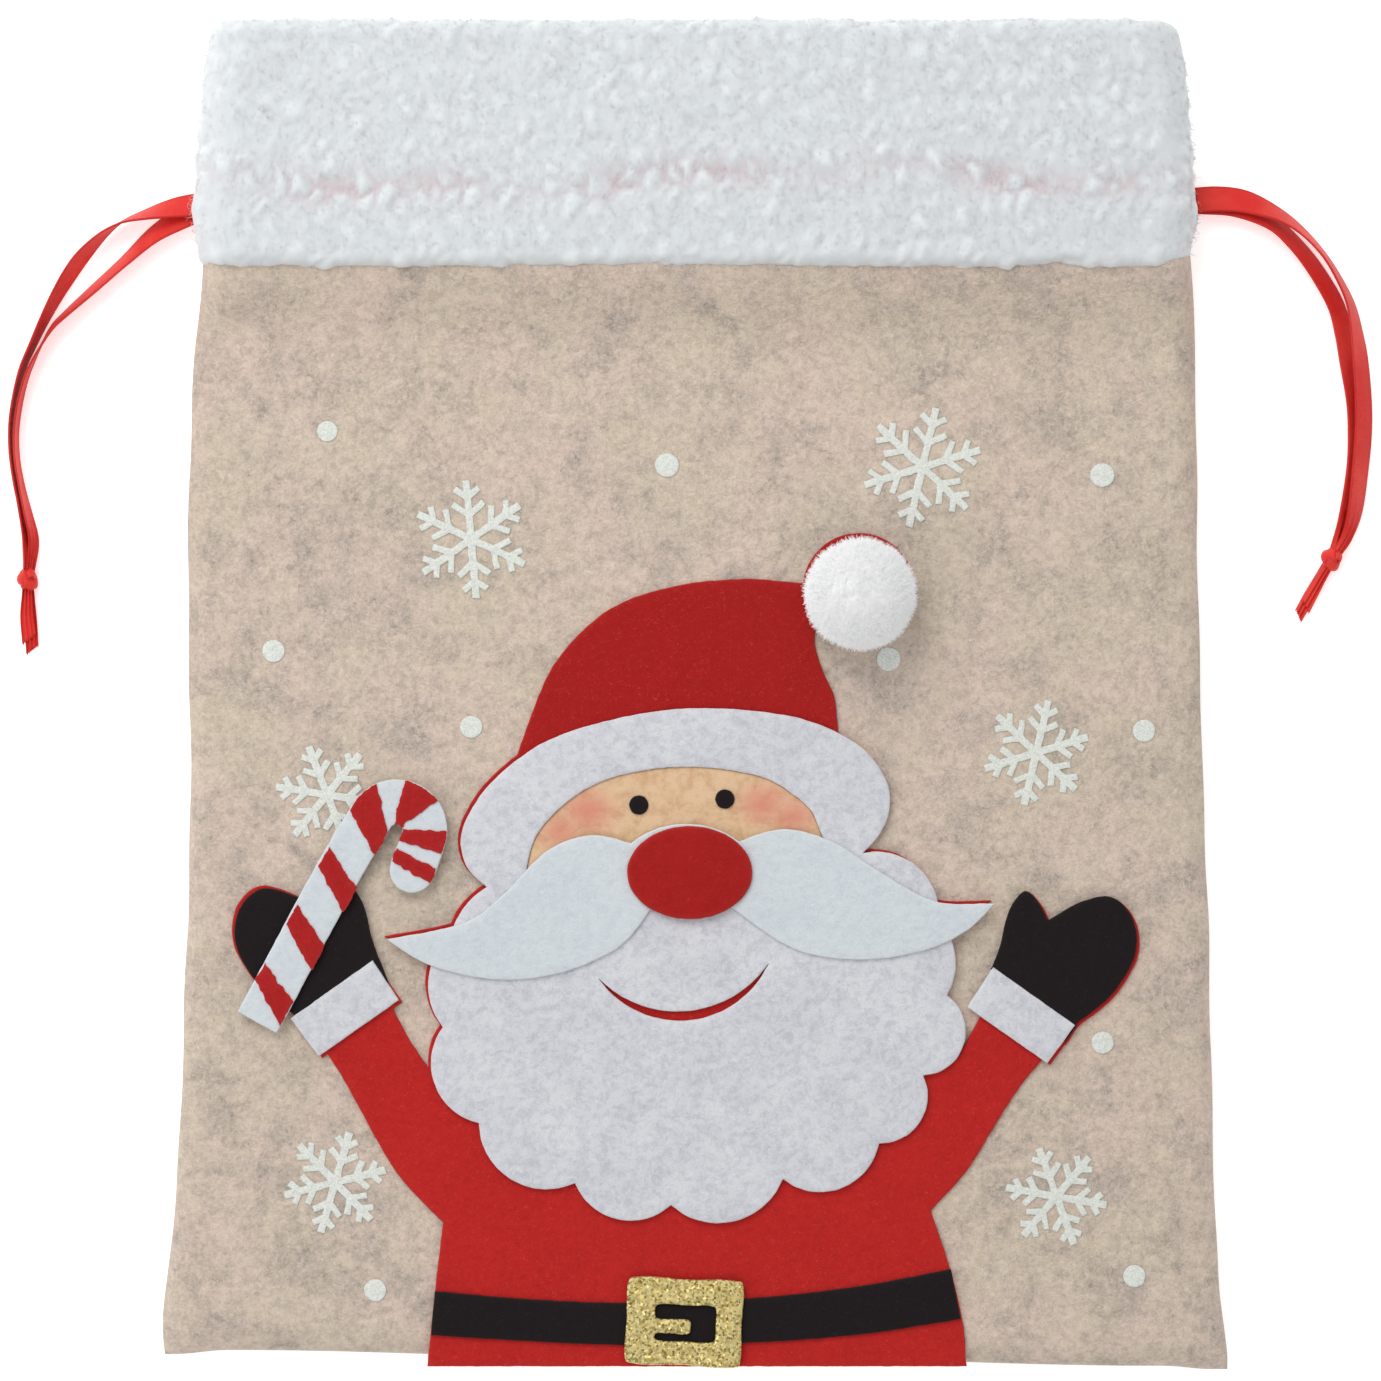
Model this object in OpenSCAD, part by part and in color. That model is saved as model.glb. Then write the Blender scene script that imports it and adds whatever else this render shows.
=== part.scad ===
// Fabric gift sack with a fleece cuff, a ribbon drawstring and a felt applique figure.
// Millimetres. It lies flat on its back, its mouth towards +Y and its front facing +Z.

/* [Sack body] */
// Width across the bottom hem
sack_w = 265; // [220:1:320]
// Width just under the cuff
neck_w = 247; // [200:1:300]
// Length from the figure's foot to the top of the cuff
sack_len = 336; // [326:1:420]
// Thickness of the body felt
felt_t = 2; // [1.5:0.1:3]
// Space left between the front and the back
pocket_gap = 6; // [5:0.5:20]
// Width of the turned-in seam allowance
seam_w = 9; // [6:0.5:14]
// How far the figure's foot hangs past the hem
foot_over = 2; // [0:0.5:6]

/* [Cuff] */
// Length of the cuff along the sack
cuff_len = 60; // [48:1:90]
// Width across the top of the cuff
cuff_top_w = 236; // [190:1:300]
// Thickness of the folded fleece, front or back
cuff_t = 8; // [7:0.5:12]
// Height of the mouth between the two cuffs
mouth_gap = 5; // [5:0.5:20]
// How deep the felt edge goes into the cuff
tuck = 8; // [5:0.5:9]
// Width of the stitched side of the cuff
side_w = 5; // [3:0.5:8]

/* [Drawstring] */
// Width of the ribbon
ribbon_w = 6.3; // [4:0.1:9]
// Thickness of the ribbon
ribbon_t = 0.4; // [0.3:0.05:0.8]
// Height of the ribbon channel inside the fleece
channel_h = 2; // [1.8:0.1:3]
// Distance from the cuff's lower edge to the channel's middle
channel_up = 15.5; // [13:0.5:22]
// Diameter of a knot
knot_d = 6.4; // [5:0.1:9]
// How far each ribbon pulls out
pull = 40; // [20:1:60]

/* [Figure] */
// Width of the figure over its mittens
figure_w = 226; // [170:1:230]
// Thickness of the applique felt
app_t = 1; // [0.8:0.1:1.6]
// Thickness of the beard and brim felt
beard_t = 1.6; // [1.2:0.1:2.4]
// Diameter of the pom-pom
pom_d = 27; // [20:0.5:36]
// Diameter of each eye
eye_d = 4.8; // [3:0.1:8]
// Width of the candy cane's band
cane_w = 11.2; // [8:0.1:14]
// Thickness of the buckle
buckle_t = 1.2; // [0.8:0.1:2]

/* [Snow] */
// Thickness of the snowflakes and dots
snow_t = 0.6; // [0.4:0.1:1]
// Width of a snowflake's strokes
flake_stroke = 1.9; // [1.4:0.1:2.4]

/* [Hidden] */
$fn = 48;

// Heights of the layers
y_foot = -sack_len / 2;
y_hem = y_foot + foot_over;
y_top = sack_len / 2;
y_cuff = y_top - cuff_len;
y_hinge = y_cuff - 24;
z_gap = felt_t + pocket_gap;
z_face = z_gap + felt_t;
z_seam = felt_t + pocket_gap / 2;
z_slot_back = cuff_t / 2 - felt_t / 4;
z_mouth = cuff_t + mouth_gap;
z_cuff = z_mouth + cuff_t;
z_slot_front = z_mouth + cuff_t / 2 - felt_t / 2;
z_tun_back = cuff_t / 2 - 0.4;
z_tun_front = z_mouth + cuff_t / 2 - channel_h / 2;
y_tun = y_cuff + channel_up;
tun_w = ribbon_w + 1.7;
thread = 0.8;
gap = 0.3;
far = 400;

// Half width of the sack at a height y along it
function half_at(y) =
  y < y_cuff
    ? sack_w / 2 + (neck_w - sack_w) / 2 * (y - y_hem) / (y_cuff - y_hem)
    : neck_w / 2 + 1.5 + (cuff_top_w / 2 - neck_w / 2 - 1.5) * (y - y_cuff) / cuff_len;

// Catmull-Rom point between b and c at t from 0 to 1
function spline_at(a, b, c, d, t) =
  0.5 * (2 * b + (c - a) * t + (2 * a - 5 * b + 4 * c - d) * t * t + (3 * b - a - 3 * c + d) * t * t * t);

// Open smooth curve through keys k with n steps between each two
function bend(k, n = 4) = concat(
  [for (i = [0:len(k) - 2]) for (j = [0:n - 1])
    spline_at(k[max(i - 1, 0)], k[i], k[i + 1], k[min(i + 2, len(k) - 1)], j / n)],
  [k[len(k) - 1]]
);

// Closed smooth curve through keys k
function loop(k, n = 4) =
  let (m = len(k))
  [for (i = [0:m - 1]) for (j = [0:n - 1])
    spline_at(k[(i + m - 1) % m], k[i], k[(i + 1) % m], k[(i + 2) % m], j / n)];

// Arc from a to b whose height is h times its chord, rising to the left of the way a to b
function arc(a, b, h, n = 8) =
  let (
    c = norm(b - a),
    u = (b - a) / c,
    v = [-u[1], u[0]],
    t = 2 * atan(2 * h),
    r = c / (2 * sin(t)),
    o = (a + b) / 2 + v * (h * c - r)
  )
  [for (i = [0:n]) let (f = t * (2 * i / n - 1)) o + r * (v * cos(f) + u * sin(f))];

// Figure coordinates, measured up from the middle of its foot, to sack coordinates
fs = min(figure_w, sack_w - 30) / 226;
function fig(k) = [for (p = k) [p[0] * fs, y_foot + p[1] * fs]];
function fig_xy(p) = [p[0] * fs, y_foot + p[1] * fs];
function shift(k, d) = [for (p = k) p + d];
function flip(k) = [for (i = [len(k) - 1:-1:0]) [-k[i][0], k[i][1]]];

// Outlines of the figure's felt pieces
coat_left = [[-63, 36], [-68, 41], [-75, 49], [-82, 61], [-88, 72], [-95, 83]];
coat_right = [[93, 86], [87, 77], [82, 71], [76, 62], [68, 49], [59, 39]];
coat_keys = concat(
  [[-67, 0], [-65, 19]],
  bend(coat_left, 3),
  [[-78, 94], [-71, 81], [-64, 71], [-50, 80], [50, 80], [66, 78], [71, 87], [75, 96]],
  bend(coat_right, 3),
  [[64, 24], [67, 11], [68, 0]]
);
hat_keys = bend([
  [-46, 148], [-42, 160], [-35, 176], [-22, 189], [-6, 195], [12, 197], [27, 196], [33, 196],
  [31, 188], [30, 181], [32, 174], [35, 167], [36, 156]
], 4);
brim_keys = [
  [-52, 120], [-57, 125], [-58.5, 132], [-56, 139], [-50, 147], [-38, 156], [-22, 161.5],
  [-4, 164.5], [15, 164], [30, 161], [42, 154.5], [48, 146], [48.5, 139], [46, 133], [42, 128.5]
];
scallop_keys = [
  [42, 128.5], [61, 112], [63, 93], [57, 73], [46, 56], [22, 47], [-6, 40.5], [-30, 46],
  [-54, 61], [-63, 85], [-61, 108], [-52, 120]
];
scallop_rise = [0.25, 0.16, 0.36, 0.28, 0.28, 0.26, 0.26, 0.27, 0.27, 0.2, 0.1];
beard_keys = concat(
  bend(brim_keys, 4),
  [for (i = [0:len(scallop_rise) - 1]) for (j = [1:8])
    if (i < len(scallop_rise) - 1 || j < 8)
      arc(scallop_keys[i], scallop_keys[i + 1], scallop_rise[i])[j]]
);
window_keys = concat(
  bend([
    [-42, 124.5], [-40, 132], [-35, 138.5], [-28, 144], [-20, 147.5], [-10, 149.5], [0, 150],
    [10, 149], [18, 147], [24, 143.5], [29, 139], [32, 132]
  ], 4),
  [[28, 124], [-38, 120]]
);
mouth_keys = concat(arc([18.5, 101], [-24, 97], 0.29, 14), arc([-24, 97], [18.5, 101], -0.235, 14));
tash_left = [-77, 107];
tash_right = [75, 116];
moustache_keys = concat(
  bend([tash_left, [-58, 111], [-48, 118], [-37, 129], [-26, 133], [-16, 131]], 4),
  [for (i = [1:7]) arc([-16, 131], [11, 131.5], 0.17)[i]],
  bend([[11, 131.5], [22, 134.5], [34, 131.5], [46, 124], [60, 116.5], tash_right], 4),
  [for (i = [4:20]) bend([tash_right, [69, 110], [58, 104.5], [42, 102], [25, 104.5], [9, 115]], 4)[i]],
  [[-1, 118]],
  [for (i = [0:19]) bend([[-11, 114.5], [-19, 105], [-34, 98.5], [-50, 97], [-66, 100.5], tash_left], 4)[i]]
);
nose_keys = [for (i = [0:35]) [-1.3 + 15.6 * cos(10 * i), 123.7 + 11.6 * sin(10 * i)]];
sleeve_keys = [[74.5, 100], [95, 85.5], [88, 76], [68, 90]];
mitten_keys = concat(
  [[92, 81], [72, 94]],
  bend([[76.5, 106], [78.5, 114], [82.5, 119], [86, 116], [88, 112]], 4),
  bend([[88.6, 111.8], [96, 116], [104, 117.5], [109.5, 112], [110, 103], [104, 93], [95.5, 86]], 4)
);
sleeve_shift = [-6, 1.7];
mitten_shift = [-4.5, 2];
belt_top = [[-65, 19], [-42, 17], [-17, 16], [12, 17], [40, 20], [64, 24.5]];
belt_foot = [[66.5, 12], [40, 8], [12, 6], [-17, 5.5], [-42, 6.5], [-66, 8]];
eye_places = [[-14, 140.5], [7.5, 142]];
pom_place = [41, 193];
buckle_place = [-2.7, 11.4];

// Candy cane: a straight stem, a hook and a short straight tip
cane_lean = 29;
cane_hook = [-74.5, 134.2];
cane_r = 7.1;
cane_stem = 58.7;
cane_turn = 171;
cane_tip = 8;
cane_arc = cane_r * cane_turn * PI / 180;

// Point at s along the cane's middle line and u to its left
function cane_at(s, u) =
  s < cane_stem
    ? cane_hook + (cane_r + u) * [-cos(cane_lean), sin(cane_lean)]
      + (s - cane_stem) * [sin(cane_lean), cos(cane_lean)]
    : let (
        q = min(s - cane_stem, cane_arc) / cane_r * 180 / PI,
        w = 180 - cane_lean - q,
        e = max(s - cane_stem - cane_arc, 0)
      )
      cane_hook + (cane_r + u) * [cos(w), sin(w)] + e * [sin(w), -cos(w)];
cane_end = cane_stem + cane_arc + cane_tip;
cane_steps = concat([0], [for (i = [0:12]) cane_stem + cane_arc * i / 12]);
cane_keys = concat(
  [for (s = cane_steps) cane_at(s, cane_w / 2)],
  arc(cane_at(cane_end, cane_w / 2), cane_at(cane_end, -cane_w / 2), 0.5, 10),
  [for (i = [len(cane_steps) - 1:-1:0]) cane_at(cane_steps[i], -cane_w / 2)]
);
// Each stripe's start and end along the left edge, then along the right edge
stripe_rows = [
  [9, 14, 2, 9], [25, 30.5, 18, 25], [41.5, 47, 34.5, 41.5], [57.5, 63.5, 50.5, 57],
  [67.5, 73, 63, 73], [77.5, 81.5, 76, 82], [85.5, 89.5, 84, 87.5]
];
function stripe_keys(r, n = 5) = concat(
  [for (i = [0:n]) cane_at(r[0] + (r[1] - r[0]) * i / n, cane_w / 2 - 0.05)],
  [for (i = [n:-1:0]) cane_at(r[2] + (r[3] - r[2]) * i / n, 0.05 - cane_w / 2)]
);

// Snowflakes: x from the sack's middle, y up from the figure's foot, radius and turn
flakes = [
  [-56, 207, 14.8, -5], [57, 225, 15.2, 13], [-92, 143, 13, 39], [85.5, 153.5, 13.5, 13],
  [-90, 46, 13, 16], [90.5, 42.5, 12.8, 40]
];
dots = [
  [-92, 234, 2.6], [-7, 225.5, 3], [102, 223, 3], [-105.5, 179, 2.8], [-56, 160, 2.8], [48.5, 177, 3],
  [112.5, 159, 2.8], [102, 81, 2.8], [-80, 19, 2.8], [110, 22.5, 2.8]
];
function snow_place(p) = [p[0] * sack_w / 265, y_foot + p[1], z_face];

// Ribbon routes outside the cuff: x out from the cuff's side, y up from the channel, height z
left_upper_keys = [
  [0, 0, 5.1], [8, -2, 3.6], [17, -4, 2.2], [26, -9, 1.6], [33, -16, 1.6], [39, -27, 1.6],
  [44, -39, 1.6], [47, -52, 1.6], [48, -65, 1.6], [46.5, -77, 1.6], [44, -87, 2.2],
  [44.5, -94, 2.8], [45, -101, 1.8], [44, -107, 1.4]
];
left_lower_keys = [
  [0, 0, 4.1], [9, -5, 2.6], [17, -11, 1.1], [26, -18, 0.4], [34, -25, 0.4], [39, -31, 0.4],
  [43, -41, 0.4], [46, -53, 0.4], [47, -66, 0.4], [45.5, -78, 0.4], [43.5, -88, 1],
  [44.5, -94, 1.5], [44, -101, 0.8], [42.5, -111, 0.4]
];
right_upper_keys = [
  [0, 0, 5.1], [12, 0, 3.6], [21, -3, 2.4], [29, -8, 1.8], [36, -19, 1.6], [40, -32, 1.6],
  [41.5, -45, 1.6], [42, -58, 1.6], [41, -71, 1.6], [38.5, -81, 2.2], [36.5, -89.5, 2.8],
  [34, -94, 1.8], [31, -99, 1.4]
];
right_lower_keys = [
  [0, 0, 4.1], [10, -1, 2.6], [19, -4, 1.2], [26, -11, 0.4], [33, -25, 0.4], [38, -42, 0.4],
  [40.5, -57, 0.4], [40, -71, 0.4], [37.5, -82, 1], [36, -89.5, 1.5], [32, -96, 0.8],
  [28, -103, 0.4]
];
knot_left_place = [44.5, -94];
knot_right_place = [36.2, -89.5];
exit_x = half_at(y_tun) + 2;
function left_route(k) = [for (p = k) [-exit_x - p[0], y_tun + p[1], p[2]]];
function right_route(k) = [for (p = k) [exit_x + p[0], y_tun + p[1], p[2]]];

// Flat ribbon swept along points q, w wide and t thick: rings of eight points
function ring_at(q, i, w, t) =
  let (
    a = q[max(i - 1, 0)],
    b = q[min(i + 1, len(q) - 1)],
    d = i == 0 ? [b[0] - a[0] > 0 ? 1 : -1, 0, 0] : (b - a) / norm(b - a),
    s = [-d[1], d[0], 0] / norm([d[0], d[1]]),
    n = cross(d, s),
    o = [[0.5, 0.2], [0.44, 0.5], [-0.44, 0.5], [-0.5, 0.2], [-0.5, -0.2], [-0.44, -0.5],
      [0.44, -0.5], [0.5, -0.2]]
  )
  [for (c = o) q[i] + s * c[0] * w + n * c[1] * t];

module swept_ribbon(q) {
  m = len(q);
  pts = [for (i = [0:m - 1]) for (p = ring_at(q, i, ribbon_w, ribbon_t + 0.2)) p];
  sides = [for (i = [0:m - 2]) for (j = [0:7])
    [i * 8 + j, i * 8 + (j + 1) % 8, (i + 1) * 8 + (j + 1) % 8, (i + 1) * 8 + j]];
  split = [for (f = sides) for (k = [0, 1]) k == 0 ? [f[0], f[2], f[1]] : [f[0], f[3], f[2]]];
  ends = [[for (j = [0:7]) j], [for (j = [7:-1:0]) (m - 1) * 8 + j]];
  polyhedron(points = pts, faces = concat(split, ends));
}

// Solid with side profile p in (y, z), run across the whole width
module across(p) {
  translate([-far / 2, 0, 0])
    multmatrix([[0, 0, 1, 0], [1, 0, 0, 0], [0, 1, 0, 0], [0, 0, 0, 1]])
      linear_extrude(height = far)
        polygon(p);
}

// Straight plate from outline p, from height z up by t
module plate(p, z, t) {
  translate([0, 0, z])
    linear_extrude(height = t)
      polygon(p);
}

// The sack's plan, in from its edge by d, between two heights along it
module plan(d, y0, y1, z0, z1) {
  plate([
    [d - half_at(y0), y0], [half_at(y0) - d, y0],
    [half_at(y1) - d, y1], [d - half_at(y1), y1]
  ], z0, z1 - z0);
}

module body_plan() {
  plate([
    [-half_at(y_hem), y_hem], [half_at(y_hem), y_hem],
    [neck_w / 2, y_cuff], [neck_w / 2, y_cuff + tuck],
    [-neck_w / 2, y_cuff + tuck], [-neck_w / 2, y_cuff]
  ], -1, z_cuff + 2);
}

// Turned-in allowance along the sides and the hem, with the stitching line left open
module allowance(z0, z1) {
  difference() {
    plan(0, y_hem, y_hinge, z0, z1);
    plan(seam_w, y_hem + seam_w, y_hinge + 1, z0 - 1, z1 + 1);
    seam_line(-1);
    seam_line(1);
    hem_line();
  }
}

module seam_line(side) {
  a = y_hem + seam_w / 2;
  b = y_hinge - 4;
  xa = half_at(a) - seam_w / 2;
  xb = half_at(b) - seam_w / 2;
  plate([
    [side * (xa - thread / 2), a], [side * (xa + thread / 2), a],
    [side * (xb + thread / 2), b], [side * (xb - thread / 2), b]
  ], z_seam - thread / 2, thread);
}

module hem_line() {
  w = half_at(y_hem) - seam_w;
  plate([
    [-w, y_hem + seam_w / 2 - thread / 2], [w, y_hem + seam_w / 2 - thread / 2],
    [w, y_hem + seam_w / 2 + thread / 2], [-w, y_hem + seam_w / 2 + thread / 2]
  ], z_seam - thread / 2, thread);
}

module back_panel() {
  color([0.8, 0.74, 0.68])
    difference() {
      union() {
        intersection() {
          body_plan();
          across([
            [y_hem, 0], [y_cuff - 8, 0], [y_cuff - 1, z_slot_back], [y_cuff + tuck, z_slot_back],
            [y_cuff + tuck, z_slot_back + felt_t], [y_cuff - 1, z_slot_back + felt_t],
            [y_cuff - 9, felt_t], [y_hem, felt_t]
          ]);
        }
        allowance(felt_t, z_seam);
      }
      cuff_seam_back();
    }
}

module front_panel() {
  color([0.8, 0.74, 0.68])
    union() {
      plan(0, y_hem, y_hinge, z_gap, z_face);
      allowance(z_seam, z_gap);
    }
}

module front_panel_top() {
  ramp = [
    [y_hinge + gap, z_gap], [y_hinge + 4, z_gap], [y_cuff, z_slot_front],
    [y_cuff + tuck, z_slot_front], [y_cuff + tuck, z_slot_front + felt_t],
    [y_cuff, z_slot_front + felt_t], [y_hinge + 4, z_face], [y_hinge + gap, z_face]
  ];
  color([0.8, 0.74, 0.68])
    difference() {
      intersection() {
        body_plan();
        across(ramp);
      }
      cuff_seam_front();
    }
}

module seam_thread_left() {
  color([0.7, 0.63, 0.57])
    seam_line(-1);
}

module seam_thread_right() {
  color([0.7, 0.63, 0.57])
    seam_line(1);
}

module seam_thread_bottom() {
  color([0.7, 0.63, 0.57])
    hem_line();
}

// Folded fleece with its round fold at the top, a slot for the felt and a ribbon channel
module cuff_half(z0, z_slot, z_tun) {
  h = cuff_t / 2;
  difference() {
    intersection() {
      plan(0, y_cuff, y_top, -1, z_cuff + 1);
      translate([-far / 2, 0, z0])
        multmatrix([[0, 0, 1, 0], [1, 0, 0, 0], [0, 1, 0, 0], [0, 0, 0, 1]])
          linear_extrude(height = far)
            union() {
              translate([y_cuff, 0])
                square([cuff_len - h, cuff_t]);
              translate([y_top - h, h])
                circle(r = h);
            }
    }
    translate([-neck_w / 2, y_cuff - 1, z_slot])
      cube([neck_w, tuck + 1, felt_t]);
    translate([-far / 2, y_tun - tun_w / 2, z_tun])
      cube([far, tun_w, channel_h]);
  }
}

module stitch_bars(z0) {
  for (y = [y_tun - tun_w / 2 - 1.5, y_tun + tun_w / 2 + 1.5])
    translate([-cuff_top_w / 2, y - thread / 2, z0])
      cube([cuff_top_w, thread, 0.6]);
}

module cuff_back() {
  color([0.9, 0.91, 0.92])
    difference() {
      cuff_half(0, z_slot_back, z_tun_back);
      stitch_bars(0);
      cuff_seam_back();
    }
}

module cuff_front() {
  color([0.9, 0.91, 0.92])
    difference() {
      cuff_half(z_mouth, z_slot_front, z_tun_front);
      stitch_bars(z_cuff - 0.6);
      cuff_seam_front();
    }
}

// Side of the cuff and of the neck, standing on the back half
module cuff_side(side) {
  inset = side_w + 3;
  intersection() {
    plate([
      [side * (half_at(y_hinge) - 3), y_hinge], [side * (neck_w / 2 - 3), y_cuff],
      [side * (cuff_top_w / 2 - 3), y_top], [side * (cuff_top_w / 2 - inset), y_top],
      [side * (neck_w / 2 - inset), y_cuff], [side * (half_at(y_hinge) - inset), y_hinge]
    ], -1, z_cuff);
    across([
      [y_hinge + 2, felt_t], [y_cuff - 9, felt_t], [y_cuff - 1, z_slot_back + felt_t],
      [y_cuff, z_slot_back + felt_t], [y_cuff, cuff_t], [y_top - cuff_t / 2, cuff_t],
      [y_top - cuff_t / 2, z_mouth - 0.4], [y_hinge + 4 + 20 * mouth_gap / (z_slot_front - z_gap),
        min(z_mouth, z_gap + mouth_gap) - 0.4],
      [y_hinge + 4, z_gap - 0.4], [y_hinge + 2, z_gap - 0.4]
    ]);
  }
}

module cuff_side_left() {
  color([0.86, 0.87, 0.88])
    cuff_side(-1);
}

module cuff_side_right() {
  color([0.86, 0.87, 0.88])
    cuff_side(1);
}

module cuff_seam_back() {
  color([0.85, 0.82, 0.8])
    translate([-neck_w / 2 + 2, y_cuff + tuck / 2, z_slot_back - thread / 2])
      cube([neck_w - 4, thread, thread]);
}

module cuff_seam_front() {
  color([0.85, 0.82, 0.8])
    translate([-neck_w / 2 + 2, y_cuff + tuck / 2, z_slot_front + felt_t - thread / 2])
      cube([neck_w - 4, thread, thread]);
}

module channel_stitching_back() {
  color([0.85, 0.7, 0.7])
    stitch_bars(0);
}

module channel_stitching_front() {
  color([0.85, 0.7, 0.7])
    stitch_bars(z_cuff - 0.6);
}

// Straight run of ribbon inside a channel, z being its middle
module run(x0, x1, z) {
  color([0.82, 0.2, 0.18])
    translate([x0, y_tun - ribbon_w / 2, z - ribbon_t / 2])
      cube([x1 - x0, ribbon_w, ribbon_t]);
}

z_low = z_tun_back + 0.5;
z_high = z_tun_back + channel_h - 0.5;
run_in = cuff_top_w / 2 - 38;

module ribbon_left_run() {
  run(-exit_x, run_in, z_low);
}

module ribbon_right_run() {
  run(-run_in, exit_x, z_high);
}

module ribbon_left_second_run() {
  run(-exit_x, -run_in - 6, z_high);
}

module ribbon_right_second_run() {
  run(run_in + 6, exit_x, z_low);
}

module ribbon_left_front_run() {
  run(-cuff_top_w / 2, cuff_top_w / 2, z_tun_front + 0.5);
}

module ribbon_right_front_run() {
  run(-cuff_top_w / 2, cuff_top_w / 2, z_tun_front + channel_h - 0.5);
}

module ribbon_left_upper() {
  color([0.84, 0.24, 0.2])
    swept_ribbon(left_route(left_upper_keys));
}

module ribbon_left_lower() {
  color([0.84, 0.24, 0.2])
    swept_ribbon(left_route(left_lower_keys));
}

module ribbon_right_upper() {
  color([0.84, 0.24, 0.2])
    swept_ribbon(right_route(right_upper_keys));
}

module ribbon_right_lower() {
  color([0.84, 0.24, 0.2])
    swept_ribbon(right_route(right_lower_keys));
}

module knot(x, y) {
  color([0.8, 0.2, 0.17])
    intersection() {
      translate([x, y, knot_d / 2 - 1])
        sphere(d = knot_d);
      translate([x - 10, y - 10, 0])
        cube([20, 20, 20]);
    }
}

module knot_left() {
  knot(-exit_x - knot_left_place[0], y_tun + knot_left_place[1]);
}

module knot_right() {
  knot(exit_x + knot_right_place[0], y_tun + knot_right_place[1]);
}

z_app = z_face + app_t;
z_beard = z_app + beard_t;
z_tash = z_beard + app_t;

// One red felt shape behind the whole figure, set a little up and left of the pieces on it
module backing_shape() {
  peek = [-0.8, 0.6];
  union() {
    polygon(fig(coat_keys));
    polygon(fig(hat_keys));
    polygon(fig(shift(beard_keys, peek)));
    polygon(fig(shift(moustache_keys, peek)));
    polygon(fig(shift(sleeve_keys, -peek)));
    polygon(fig(shift(mitten_keys, -peek)));
    polygon(fig(shift(flip(sleeve_keys), sleeve_shift - peek)));
    polygon(fig(shift(flip(mitten_keys), mitten_shift + peek)));
  }
}

module backing(z, t) {
  union() {
    translate([0, 0, z])
      linear_extrude(height = t)
        backing_shape();
    translate(concat(fig_xy(pom_place + [0, 1.5]), [z]))
      cylinder(d = pom_d + 1, h = t);
  }
}

module figure_backing() {
  color([0.7, 0.13, 0.12])
    backing(z_face, app_t);
}

module face() {
  color([0.87, 0.74, 0.6])
    plate(fig(window_keys), z_app, beard_t / 2);
}

module eye(i) {
  color([0.1, 0.09, 0.09])
    translate(concat(fig_xy(eye_places[i]), [z_app + beard_t / 2]))
      cylinder(d = eye_d, h = 0.6);
}

module eye_left() {
  eye(0);
}

module eye_right() {
  eye(1);
}

module beard_and_brim() {
  color([0.84, 0.84, 0.87])
    difference() {
      plate(fig(beard_keys), z_app, beard_t);
      plate(fig(window_keys), z_app - 1, beard_t + 2);
      plate(fig(mouth_keys), z_app - 1, beard_t + 2);
    }
}

module moustache() {
  color([0.88, 0.89, 0.91])
    plate(fig(moustache_keys), z_beard, app_t);
}

module nose() {
  color([0.75, 0.14, 0.12])
    plate(fig(nose_keys), z_tash, app_t * 1.2);
}

module sleeve_cuff_left() {
  color([0.84, 0.84, 0.87])
    plate(fig(shift(flip(sleeve_keys), sleeve_shift)), z_app, app_t * 1.4);
}

module sleeve_cuff_right() {
  color([0.84, 0.84, 0.87])
    plate(fig(sleeve_keys), z_app, app_t * 1.4);
}

module mitten_left() {
  color([0.15, 0.13, 0.13])
    difference() {
      plate(fig(shift(flip(mitten_keys), mitten_shift)), z_app, app_t);
      plate(fig(shift(flip(sleeve_keys), sleeve_shift)), z_app - 1, app_t + 2);
    }
}

module mitten_right() {
  color([0.15, 0.13, 0.13])
    difference() {
      plate(fig(mitten_keys), z_app, app_t);
      plate(fig(sleeve_keys), z_app - 1, app_t + 2);
    }
}

z_cane = z_app + app_t * 1.4;

module candy_cane() {
  color([0.88, 0.89, 0.91])
    plate(fig(cane_keys), z_cane, app_t);
}

module cane_stripes() {
  color([0.75, 0.14, 0.12])
    for (r = stripe_rows)
      plate(fig(stripe_keys(r)), z_cane + app_t, 0.4);
}

module belt() {
  color([0.15, 0.13, 0.13])
    plate(fig(concat(bend(belt_top, 3), bend(belt_foot, 3))), z_app, app_t);
}

module buckle() {
  c = fig_xy(buckle_place);
  w = 28.7 * fs;
  h = 21.3 * fs;
  color([0.75, 0.66, 0.35])
    translate([c[0], c[1], z_app + app_t])
      rotate([0, 0, -2.6])
        linear_extrude(height = buckle_t)
          union() {
            difference() {
              square([w, h], center = true);
              translate([0.3 * fs, -0.3 * fs])
                square([0.53 * w, 0.42 * h], center = true);
            }
            translate([-0.27 * w, -0.14 * h])
              square([0.33 * w, 0.17 * h]);
          }
}

module pom_pom() {
  c = fig_xy(pom_place);
  r = pom_d / 2;
  color([0.93, 0.93, 0.93])
    difference() {
      translate([c[0], c[1], z_app + 0.7 * r])
        sphere(r = r);
      translate([c[0] - r, c[1] - r, z_app - 2 * r])
        cube([2 * r, 2 * r, 2 * r]);
    }
}

module arm_shape(r) {
  translate([-flake_stroke / 2, 0])
    square([flake_stroke, r]);
  for (b = [[0.4, 0.34], [0.7, 0.26]])
    for (s = [-1, 1])
      translate([0, b[0] * r])
        rotate([0, 0, s * 52])
          translate([-flake_stroke * 0.42, 0])
            square([flake_stroke * 0.84, b[1] * r]);
}

module snowflake(i) {
  f = flakes[i];
  color([0.9, 0.91, 0.89])
    translate(snow_place(f))
      rotate([0, 0, -f[3]])
        linear_extrude(height = snow_t)
          union() {
            for (k = [0:5])
              rotate([0, 0, 60 * k])
                arm_shape(f[2]);
          }
}

module snowflake_1() {
  snowflake(0);
}

module snowflake_2() {
  snowflake(1);
}

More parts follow.
